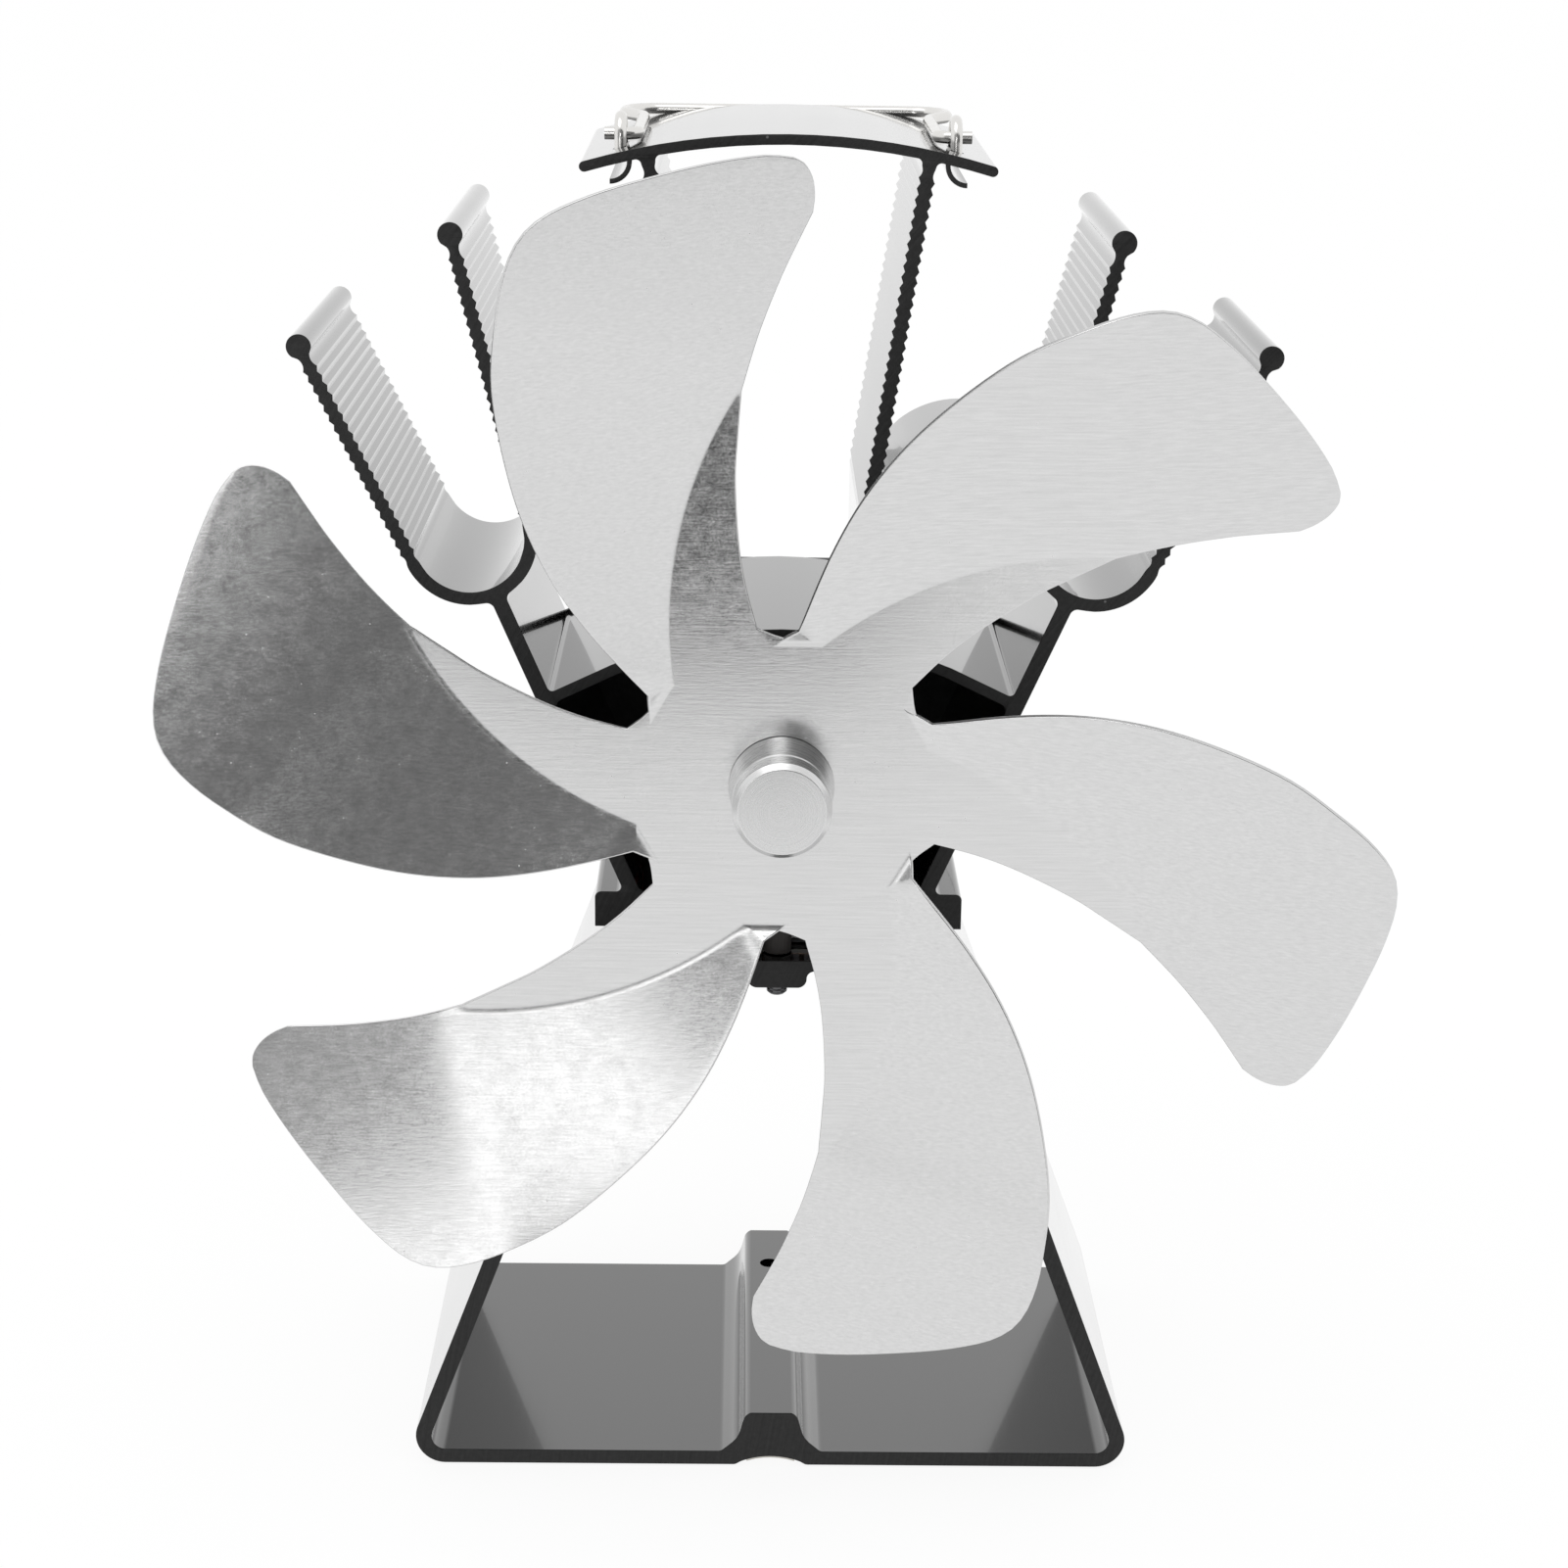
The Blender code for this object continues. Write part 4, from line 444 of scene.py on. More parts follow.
die_lines, pen, given, gives = effect("die lines", {"Spacing": 0.0011}, "Height", "Streaks")
spacing = pen.math("DIVIDE", 1.0, given["Spacing"])
x, y, z = pen.parts()
along = pen.times(y, DRAWN_OUT)
drawn = pen.vector(x, along, z)
fine = pen.add("ShaderNodeTexNoise", {"Vector": drawn, "Scale": spacing, "Detail": 3.0}).outputs["Fac"]
wider = pen.math("DIVIDE", spacing, 6.0)
broad = pen.add("ShaderNodeTexNoise", {"Vector": drawn, "Scale": wider}).outputs["Fac"]
pen.join(fine, gives["Height"])
pen.join(broad, gives["Streaks"])

dust, pen, given, gives = effect("dust", {"Spacing": 0.006, "Share": 0.1, "Size": 0.06}, "Mask")
spacing = pen.math("DIVIDE", 1.0, given["Spacing"])
cells = pen.add("ShaderNodeTexVoronoi", {"Vector": pen.place, "Scale": spacing}).outputs
chance = pen.add("ShaderNodeSeparateColor", {0: cells["Color"]}).outputs[0]
picked = pen.math("LESS_THAN", chance, given["Share"])
near = pen.math("LESS_THAN", cells["Distance"], given["Size"])
pen.join(pen.times(picked, near), gives["Mask"])

saw_marks, pen, given, gives = effect("saw marks", {"Pitch": 0.0006}, "Height", "Grain")
x, _, z = pen.parts()
reach = pen.reach(pen.math("SUBTRACT", x, SAW_X), pen.math("SUBTRACT", z, SAW_Z))
scale = pen.math("DIVIDE", 1.0, given["Pitch"])
marks = pen.add("ShaderNodeTexNoise", {"W": reach, "Scale": scale}, noise_dimensions="1D")
pen.join(marks.outputs["Fac"], gives["Height"])
pen.join(pen.noise(900.0), gives["Grain"])

anodised, pen = metal_or_paint(
    "black anodised aluminium", (0.095, 0.095, 0.096), 0.16, Metallic=1.0,
    Specular_Tint=(0.85, 0.85, 0.85, 1), Coat_Weight=1.0, Coat_Roughness=0.05, Coat_IOR=1.5)
lines = pen.use(die_lines)
specks = pen.use(dust, Share=0.07)["Mask"]
pen.bump(lines["Height"], 0.12)
worn = pen.plus(pen.between(lines["Streaks"], 0.12, 0.2), pen.between(pen.noise(40.0), -0.03, 0.03))
pen.paint("Roughness", pen.plus(worn, pen.times(specks, 0.4)))
pen.grey(pen.between(specks, 0.1, 0.26))

sawn, pen = metal_or_paint("anodised saw cut", (0.02, 0.02, 0.02), 0.42, IOR=1.36)
cut = pen.use(saw_marks)
specks = pen.use(dust, Spacing=0.004, Share=0.06)["Mask"]
pen.bump(cut["Height"], 0.5)
tone = pen.plus(pen.between(cut["Grain"], 0.002, 0.02), pen.between(cut["Height"], 0.0, 0.016))
pen.grey(pen.plus(tone, pen.times(specks, 0.12)))

base_holes = [drill(0, y, BOSS, CLAMP_HOLE) for y in CLAMPS_Y]
base_holes.append(drill(0, RIVET_Y, RIDGE, RIVET_HOLE))
base = minus(sawn_length(node["base_extrusion"], BASE_CORNER), rods(base_holes))
shown("base", base, "stand", "base_extrusion", finishes=(anodised, sawn))

# The bimetal strip lies in the groove under the base and curls when the stove is too hot. It is rolled
# from two metals in one strip, and one rivet through the base's ridge holds it.
bimetal, pen = metal_or_paint("rolled bimetal", (0.55, 0.53, 0.49), 0.35, Metallic=1.0)
rolled = pen.noise((1500.0, 12.0, 1500.0), 3.0)
pen.rough(rolled, 0.28, 0.46)
pen.bump(rolled, 0.15)
rivet_steel, pen = metal_or_paint("zinc plated rivet", (0.6, 0.6, 0.58), 0.3, Metallic=1.0)
pen.rough(pen.noise(700.0), 0.2, 0.42)


def finished(solid_name, finish, turn=30):
    """A solid that is shown as it is, in its finish."""
    mesh = node[solid_name].data
    mesh.materials.clear()
    mesh.materials.append(finish)
    mesh.shade_smooth()
    mesh.set_sharp_from_angle(angle=math.radians(turn))


finished("bimetal_strip", bimetal)
finished("strip_rivet", rivet_steel)

# The module between base and sink: two ceramic plates with a grid of semiconductor pellets and copper
# bridges soldered between them, and a soft graphite pad on each face. The clamp screws press it.
PELLETS = 16  # in a row
PELLET = 0.0014  # its width
BRIDGE = 0.00025  # its thickness


def tree_of(name, **inputs):
    """A Geometry Nodes tree with inputs of named kinds, its pen, what it is given and what it gives."""
    tree = bpy.data.node_groups.new(name, "GeometryNodeTree")
    tree.interface.new_socket("Geometry", in_out="INPUT", socket_type="NodeSocketGeometry")
    tree.interface.new_socket("Geometry", in_out="OUTPUT", socket_type="NodeSocketGeometry")
    for socket, kind in inputs.items():
        tree.interface.new_socket(socket, in_out="INPUT", socket_type="NodeSocket" + kind)
    pen = Pen(tree)
    return tree, pen, pen.add("NodeGroupInput").outputs, pen.add("NodeGroupOutput").inputs


def with_tree(piece, tree, **inputs):
    """Puts a tree on an object with the values of its named inputs."""
    modifier = piece.modifiers.new(tree.name, "NODES")
    modifier.node_group = tree
    sockets = {item.name: item.identifier for item in tree.interface.items_tree if item.in_out == "INPUT"}
    for name, value in inputs.items():
        modifier[sockets[name]] = value


telluride, pen = metal_or_paint("sawn telluride pellet", (0.2, 0.2, 0.21), 0.45, Metallic=1.0)
pen.rough(pen.noise(2500.0), 0.3, 0.6)
copper, pen = metal_or_paint("tinned copper bridge", (0.72, 0.5, 0.38), 0.3, Metallic=1.0)
pen.rough(pen.noise(900.0), 0.2, 0.5)

low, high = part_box("module_core")
pitch = (high.x - low.x - PELLET) / (PELLETS - 1)
grid_tree, pen, given, gives = tree_of(
    "pellet grid", Count="Int", Pitch="Float", Width="Float", Height="Float")


def blocks(pen, given, count_x, spacing_x, size, z, finish):
    """Blocks of a size in the module's rows: how many, how far apart, at what height."""
    span_x = pen.times(pen.math("SUBTRACT", count_x, 1), spacing_x)
    span_y = pen.times(pen.math("SUBTRACT", given["Count"], 1), given["Pitch"])
    grid = pen.add("GeometryNodeMeshGrid", {
        "Size X": span_x, "Size Y": span_y, "Vertices X": count_x, "Vertices Y": given["Count"]})
    cube = pen.add("GeometryNodeMeshCube", {"Size": size}).outputs[0]
    placed = pen.add("GeometryNodeInstanceOnPoints", {"Points": grid.outputs[0], "Instance": cube})
    moved = pen.add("GeometryNodeTransform", {
        "Geometry": placed.outputs[0], "Translation": pen.vector(0, 0, z)})
    real = pen.add("GeometryNodeRealizeInstances", {"Geometry": moved.outputs[0]})
    made = pen.add("GeometryNodeSetMaterial", {"Geometry": real.outputs[0], "Material": finish})
    return made.outputs[0]


width = given["Width"]
length = pen.plus(width, given["Pitch"])
height = pen.math("SUBTRACT", given["Height"], 2 * BRIDGE)
pellet_size = pen.vector(width, width, height)
bridge_size = pen.vector(length, width, BRIDGE)
pairs = pen.math("DIVIDE", given["Count"], 2)
double = pen.times(given["Pitch"], 2)
level = pen.times(pen.math("SUBTRACT", given["Height"], BRIDGE), 0.5)
joined = pen.add("GeometryNodeJoinGeometry")
for part in (
    blocks(pen, given, given["Count"], given["Pitch"], pellet_size, 0.0, telluride),
    blocks(pen, given, pairs, double, bridge_size, level, copper),
    blocks(pen, given, pen.math("SUBTRACT", pairs, 1), double, bridge_size, pen.times(level, -1), copper),
):
    pen.join(part, joined.inputs[0])
pen.join(joined.outputs[0], gives["Geometry"])
core = bpy.data.objects.new("pellets", bpy.data.meshes.new("pellets"))
with_tree(core, grid_tree, Count=PELLETS, Pitch=pitch, Width=PELLET, Height=high.z - low.z)
core_mesh = evaluated(core)
core_mesh.transform(Matrix.Translation((low + high) / 2))
shown("pellet_grid", core_mesh, "stand", "module_core")

ceramic, pen = metal_or_paint("alumina ceramic", (0.83, 0.82, 0.79), 0.45)
pen.bump(pen.noise(4000.0), 0.2)
pen.rough(pen.noise(300.0), 0.4, 0.6)
graphite, pen = metal_or_paint("graphite pad", (0.07, 0.07, 0.072), 0.5)
flakes = pen.noise(1500.0)
pen.rough(flakes, 0.3, 0.65)
pen.bump(flakes, 0.3)
for name, finish in (
    ("module_pad_hot", graphite), ("module_plate_hot", ceramic),
    ("module_plate_cold", ceramic), ("module_pad_cold", graphite),
):
    finished(name, finish)

# The heat sink: one aluminium extrusion, sawn to length and black anodised like the base. Its fins are
# ribbed, its top plate carries the bail, and its chamber holds the motor.
SINK_CORNER = 48  # degrees from which the section has a corner and no arc
FLANGE = (0.1150, 0.1250)  # heights that a drill through the flange passes
BUSH_HOLE = 0.00305
SCREW_HOLE = 0.00155
BRACKET_X, BRACKET_Y = 0.016, -0.00468
BRACKET_DEPTHS = (0.1201, 0.1260)  # heights between which the bracket's screws are tapped
COVER_X, COVER_Z = 0.02, 0.12185
COVER_DEPTHS = (0.02957, 0.0360)  # Y between which the cover's screws are tapped
LEAD_X, LEAD_Y = 0.012, 0.03007
LEAD_HOLE = 0.0016
TOP_PLATE = (0.2605, 0.2660)  # heights that a drill through the top plate passes
STAPLE_X = 0.0304
STAPLE_BEND = 0.0035
STAPLE_HOLE = 0.0014
SWING_Y = -0.01243  # of the axis that the bail turns on
sink_holes = [drill(0, y, FLANGE, BUSH_HOLE) for y in CLAMPS_Y]
for side in (-1, 1):
    start, end = ((side * COVER_X, y, COVER_Z) for y in COVER_DEPTHS)
    sink_holes += [
        drill(side * BRACKET_X, BRACKET_Y, BRACKET_DEPTHS, SCREW_HOLE),
        (start, end, SCREW_HOLE),
        drill(side * LEAD_X, LEAD_Y, FLANGE, LEAD_HOLE),
        drill(side * STAPLE_X, SWING_Y - STAPLE_BEND, TOP_PLATE, STAPLE_HOLE),
        drill(side * STAPLE_X, SWING_Y + STAPLE_BEND, TOP_PLATE, STAPLE_HOLE),
    ]
heat_sink = minus(sawn_length(node["heat_sink_extrusion"], SINK_CORNER), rods(sink_holes))
shown("heat_sink", heat_sink, "stand", "heat_sink_extrusion", finishes=(anodised, sawn))

# Two screws clamp the sink to the base. Each has a rolled thread and a socket head, and stands in a
# moulded bush that keeps the base's heat out of the sink, with a spring washer under its head.
threaded, pen = metal_or_paint("blackened steel thread", (0.13, 0.13, 0.135), 0.3, Metallic=1.0)
wave = {"Vector": pen.place, "Scale": 450.0}
turns = pen.add("ShaderNodeTexWave", wave, bands_direction="Z", wave_profile="TRI")
pen.bump(turns.outputs["Fac"], 0.6, 0.0003)
pen.rough(pen.noise(700.0), 0.2, 0.4)
moulded, pen = metal_or_paint("moulded heat-proof resin", (0.035, 0.03, 0.027), 0.5)
pen.bump(pen.noise(1800.0), 0.2)
pen.rough(pen.noise(200.0), 0.4, 0.6)
for end in ("front", "rear"):
    finished("clamp_screw_" + end, threaded)
    finished("clamp_bush_" + end, moulded)
    finished("clamp_washer_" + end, rivet_steel)

# The motor hangs in the sink's chamber on a bent steel bracket. Two screws hold it to the bracket, and
# two more hold the bracket down on the flange.
plated, pen = metal_or_paint("zinc plated sheet", (0.63, 0.64, 0.65), 0.3, Metallic=1.0)
spangle = pen.add("ShaderNodeTexVoronoi", {"Vector": pen.place, "Scale": 260.0}).outputs["Color"]
sheen = pen.add("ShaderNodeSeparateColor", {0: spangle}).outputs[0]
pen.rough(sheen, 0.24, 0.42)
pen.bump(pen.noise(1200.0), 0.1)
finished("motor_bracket", plated)
for name in ("motor_screw_left", "motor_screw_right", "bracket_screw_left", "bracket_screw_right"):
    finished(name, rivet_steel)

# The motor: a drawn steel can with two arc magnets in it, a sintered bearing at each end, and a
# moulded end cap that holds the brushes and the tinned tabs for the leads.
drawn, pen = metal_or_paint("drawn nickel plated can", (0.66, 0.64, 0.6), 0.24, Metallic=1.0)
pulled = pen.noise((900.0, 8.0, 900.0), 3.0)
pen.bump(pulled, 0.12)
pen.rough(pulled, 0.18, 0.34)
ferrite, pen = metal_or_paint("ferrite magnet", (0.045, 0.045, 0.05), 0.5)
pen.rough(pen.noise(1400.0), 0.35, 0.6)
sintered, pen = metal_or_paint("sintered bronze", (0.5, 0.36, 0.2), 0.42, Metallic=1.0)
pores = pen.add("ShaderNodeTexVoronoi", {"Vector": pen.place, "Scale": 4500.0}).outputs["Distance"]
pen.bump(pores, 0.4)
pen.rough(pores, 0.35, 0.55)
nylon, pen = metal_or_paint("black glass-filled nylon", (0.025, 0.025, 0.027), 0.42)
pen.bump(pen.noise((500.0, 2500.0, 500.0)), 0.25)
pen.rough(pen.noise(350.0), 0.32, 0.52)
tinned, pen = metal_or_paint("tinned brass tab", (0.72, 0.7, 0.64), 0.3, Metallic=1.0)
pen.rough(pen.noise(900.0), 0.2, 0.45)
for name, finish in (
    ("motor_can", drawn), ("motor_end_cap", nylon), ("magnet_upper", ferrite), ("magnet_lower", ferrite),
    ("bearing_front", sintered), ("bearing_rear", sintered),
    ("motor_terminal_left", tinned), ("motor_terminal_right", tinned),
):
    finished(name, finish)

# The ground steel shaft carries the armature: a stack of stamped laminations with copper wire wound
# in its three slots, and a copper commutator behind it.
HUB_HEIGHT = 0.1515  # of the motor's axis
SLOTS = 3
STACK_END = 0.0138  # Y of the last lamination
around, pen, given, gives = effect(
    "around the motor's axis", {"Height": HUB_HEIGHT}, "Radius", "Angle", "Depth")
x, y, z = pen.parts()
rise = pen.math("SUBTRACT", z, given["Height"])
pen.join(pen.reach(x, rise), gives["Radius"])
pen.join(pen.math("ARCTAN2", rise, x), gives["Angle"])
pen.join(y, gives["Depth"])


def rings(pen, along, spacing):
    """Marks that a tool leaves at a spacing along a way."""
    inputs = {"W": along, "Scale": 1 / spacing, "Detail": 2.0}
    return pen.add("ShaderNodeTexNoise", inputs, noise_dimensions="1D").outputs["Fac"]


ground, pen = metal_or_paint("ground steel", (0.6, 0.59, 0.57), 0.2, Metallic=1.0)
marks = rings(pen, pen.use(around)["Depth"], 0.00012)
pen.bump(marks, 0.1, 0.00002)
pen.rough(marks, 0.14, 0.28)
finished("motor_shaft", ground)

wound, pen = metal_or_paint("laminations and copper winding", (0.45, 0.44, 0.43), 0.4, Metallic=1.0)
here = pen.use(around)
turn = pen.math("COSINE", pen.times(here["Angle"], SLOTS))
winding = pen.above(here["Depth"], STACK_END, STACK_END + 0.0001)
slot = pen.math("MAXIMUM", pen.above(turn, 0.55, 0.6), winding)
tints = {"Factor": slot, "A": (0.42, 0.41, 0.4, 1), "B": (0.62, 0.27, 0.13, 1)}
pen.paint("Base Color", pen.add("ShaderNodeMix", tints, data_type="RGBA").outputs["Result"])
wires = pen.add("ShaderNodeTexWave", {"Vector": pen.place, "Scale": 1400.0}, bands_direction="X")
sheets = pen.add("ShaderNodeTexWave", {"Vector": pen.place, "Scale": 1000.0}, bands_direction="Y")
relief = pen.add("ShaderNodeMix", {
    "Factor": slot, "A": sheets.outputs["Fac"], "B": wires.outputs["Fac"]}, data_type="FLOAT")
pen.bump(relief.outputs["Result"], 0.6, 0.0001)
finished("motor_armature", wound)

# Two stranded leads in plastic covers run from the module up through the flange to the motor's tabs.
# The holes they pass and the chamber's wall hold them all the way.
for name, colour in (("red", (0.45, 0.02, 0.015)), ("black", (0.02, 0.02, 0.022))):
    cover, pen = metal_or_paint(name + " lead cover", colour, 0.42)
    pen.bump(pen.noise((900.0, 900.0, 60.0)), 0.2)
    pen.rough(pen.noise(260.0), 0.34, 0.52)
    finished("lead_" + name, cover, turn=60)

# The rear cover is punched from aluminium sheet and coated with black powder. Two pan-head screws with
# a cross recess hold it on the flange.
coated, pen = metal_or_paint("black powder coat", (0.022, 0.022, 0.023), 0.5)
pen.bump(pen.noise(1300.0, 1.0), 0.35, 0.0001)
specks = pen.use(dust, Share=0.08)["Mask"]
pen.paint("Roughness", pen.plus(pen.between(pen.noise(60.0), 0.42, 0.56), specks))
finished("rear_cover", coated)
HEAD_HEIGHT = 0.0016
PAN_PROFILE = (
    (0.0026, 0.0), (0.0026, 0.0005), (0.0024, 0.0010),
    (0.0018, 0.0014), (0.0009, 0.00155), (0.0, HEAD_HEIGHT),
)
SHANK_RADIUS = 0.0015
SHANK_LENGTH = 0.0070
CROSS_WIDTH = 0.0024  # of the driver's tip, and so of the recess
CROSS_ARM = 0.00055
DRIVER_LENGTH = 0.0016
DRIVER_MIDDLE = 0.0014  # above the head's seat
DRIVER_TAPER = 0.45


def lathe(profile, steps):
    """Closed mesh of a profile of radius and reach, turned about the Y axis, its reach towards -Y."""
    work = bmesh.new()
    line = [work.verts.new((radius, -reach, 0)) for radius, reach in profile]
    edges = [work.edges.new(pair) for pair in zip(line, line[1:])]
    bmesh.ops.spin(work, geom=line + edges, cent=(0, 0, 0), axis=(0, 1, 0), angle=math.tau, steps=steps)
    bmesh.ops.remove_doubles(work, verts=work.verts, dist=TOUCHING)
    bmesh.ops.recalc_face_normals(work, faces=work.faces)
    return meshed(work, "turned")


def driver_arm(width, depth):
    """One tapered arm, point first, of the cross on a driver's tip."""
    work = bmesh.new()
    for corner in bmesh.ops.create_cube(work, size=1)["verts"]:
        x, y, z = corner.co
        taper = 1 if y < 0 else DRIVER_TAPER
        corner.co = (x * width * taper, y * DRIVER_LENGTH - DRIVER_MIDDLE, z * depth * taper)
    return meshed(work, "tip")


passivated, pen = metal_or_paint("black passivated screw", (0.1, 0.1, 0.105), 0.3, Metallic=1.0)
pen.rough(pen.noise(1200.0), 0.2, 0.42)
shank = ((SHANK_RADIUS, 0.0), (SHANK_RADIUS, -SHANK_LENGTH), (0.0, -SHANK_LENGTH))
for side in ("left", "right"):
    low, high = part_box("cover_screw_" + side)
    middle = (low + high) / 2
    seat = high.y - HEAD_HEIGHT
    screw = lathe([*reversed(PAN_PROFILE), *shank], 48)
    for arm in ((CROSS_WIDTH, CROSS_ARM), (CROSS_ARM, CROSS_WIDTH)):
        screw = minus(screw, driver_arm(*arm))
    screw.transform(Matrix.Translation((middle.x, seat, middle.z)) @ Matrix.Rotation(math.pi, 4, "Z"))
    shown("pan_screw_" + side, screw, "stand", "cover_screw_" + side, finishes=(passivated,))

# The impeller: six blades pressed in one aluminium sheet. Each is creased along a bow and pitched
# forward beyond it, with a bent gusset at its root and a notch before the next blade.
IMPELLER_RADIUS = 0.1142
IMPELLER_WALL = 0.001
SHEET_FRONT = -0.04443
BLADES = 6
PITCH = math.radians(19.2)
CREASE_BOW = 0.005
BEND_HALF = 0.0009  # of the rounded bend beside a crease
EASE = 0.005  # over which the bow straightens beyond its end
FADE = 0.004  # over which a crease fades out at the sheet's edge
RIM_ROUND = 0.0002
SLIT_CLEAR = 0.0001  # a rim nearer than this to a slit's end stays sharp
BORE_RADIUS = 0.0053
# Outline of the blade that points up, as shares of the impeller's radius (x, z).
CREASE_ROOT = Vector((-0.170, 0.170)) * IMPELLER_RADIUS
CREASE_END = Vector((-0.070, 0.640)) * IMPELLER_RADIUS
GUSSET_OUTER = (-0.213, 0.151)
GUSSET_INNER = (-0.211, 0.100)
OUTER_EDGE = (
    (-0.308, 0.267), (-0.372, 0.371), (-0.417, 0.492), (-0.444, 0.646), (-0.437, 0.761),
    (-0.4225, 0.835), (-0.400, 0.884), (-0.365, 0.916), (-0.313, 0.940), (-0.244, 0.9615),
    (-0.130, 0.9875), (-0.040, 0.9992), (0.007, 0.995),
)
TIP_CORNER = ((0.007, 0.995), (0.023, 0.9855), (0.0345, 0.965), (0.0385, 0.939), (0.036, 0.912))
UPPER_EDGE = ((-0.043, 0.731), (-0.013, 0.809), (0.009, 0.857), (0.036, 0.912))
LOWER_EDGE = ((-0.042, 0.262), (-0.061, 0.332), (-0.0725, 0.405), (-0.078, 0.50), (-0.075, 0.567))
NOTCH = ((-0.042, 0.262), (-0.013, 0.250), (0.014, 0.243))
CREASE_ROWS = 40
TIP_ROWS = 16
GUSSET_ROWS = 8
NOTCH_ROWS = 8
COLUMNS = 10
CORNER_STEPS = 400
CURVE_STEPS = 24


def sized(shares):
    """A point of the upright blade in the hub's plane."""
    return Vector(shares) * IMPELLER_RADIUS


def crease_bow(along):
    """How far the crease bows from its chord at a distance along it."""
    length = (CREASE_END - CREASE_ROOT).length
    radius = (length**2 / 4 + CREASE_BOW**2) / (2 * CREASE_BOW)
    from_middle = along - length / 2
    if from_middle >= length / 2:
        slope = length / 2 / (radius - CREASE_BOW)
        return -slope * EASE * (1 - math.exp((length / 2 - from_middle) / EASE))
    if from_middle <= -length / 2:
        return 0.0
    return math.sqrt(radius**2 - from_middle**2) - (radius - CREASE_BOW)


def folded(reach):
    """How far a rounded bend has come forward at a reach beyond its line, for a slope of 1."""
    if reach <= 0:
        return 0.0
    return reach**2 / (4 * BEND_HALF) if reach < 2 * BEND_HALF else reach - BEND_HALF


def pitched(point):
    """A point of the pressed sheet: the blade and its gusset come forward from their bends."""
    spine = CREASE_END - CREASE_ROOT
    along = spine.normalized()
    side = Vector((-along.y, along.x))
    offset = point - CREASE_ROOT
    past_crease = offset.dot(side) - crease_bow(offset.dot(along))
    beyond = min(1, max(0, (offset.dot(along) - spine.length) / FADE))
    plane = past_crease - BEND_HALF
    blade = math.tan(PITCH) * (folded(past_crease) * (1 - beyond) + plane * beyond)
    if offset.dot(along) >= 0:
        return Vector((point.x, -blade, point.y))
    outer = sized(GUSSET_OUTER) - CREASE_ROOT
    foot = (sized(GUSSET_INNER) - CREASE_ROOT).normalized()
    out = Vector((foot.y, -foot.x))
    if outer.dot(out) < 0:
        out = -out
    gusset = math.tan(PITCH) * outer.dot(side) / outer.dot(out) * folded(offset.dot(out))
    return Vector((point.x, -min(blade, gusset), point.y))


def rail(points, count):
    """Evenly spaced points on a smooth curve through the given ones."""
    padded = [points[0] * 2 - points[1], *points, points[-1] * 2 - points[-2]]
    fine = []
    for p0, p1, p2, p3 in zip(padded, padded[1:], padded[2:], padded[3:]):
        for i in range(CURVE_STEPS):
            t = i / CURVE_STEPS
            fine.append((
                p1 * 2 + (p2 - p0) * t + (p0 * 2 - p1 * 5 + p2 * 4 - p3) * t**2
                + (p1 * 3 - p0 - p2 * 3 + p3) * t**3
            ) / 2)
    fine.append(points[-1])
    reach = [0.0]
    for a, b in zip(fine, fine[1:]):
        reach.append(reach[-1] + (b - a).length)
    result = []
    index = 0
    for i in range(count):
        target = reach[-1] * i / (count - 1)
        while index < len(fine) - 2 and reach[index + 1] < target:
            index += 1
        share = (target - reach[index]) / (reach[index + 1] - reach[index])
        result.append(fine[index].lerp(fine[index + 1], share))
    return result


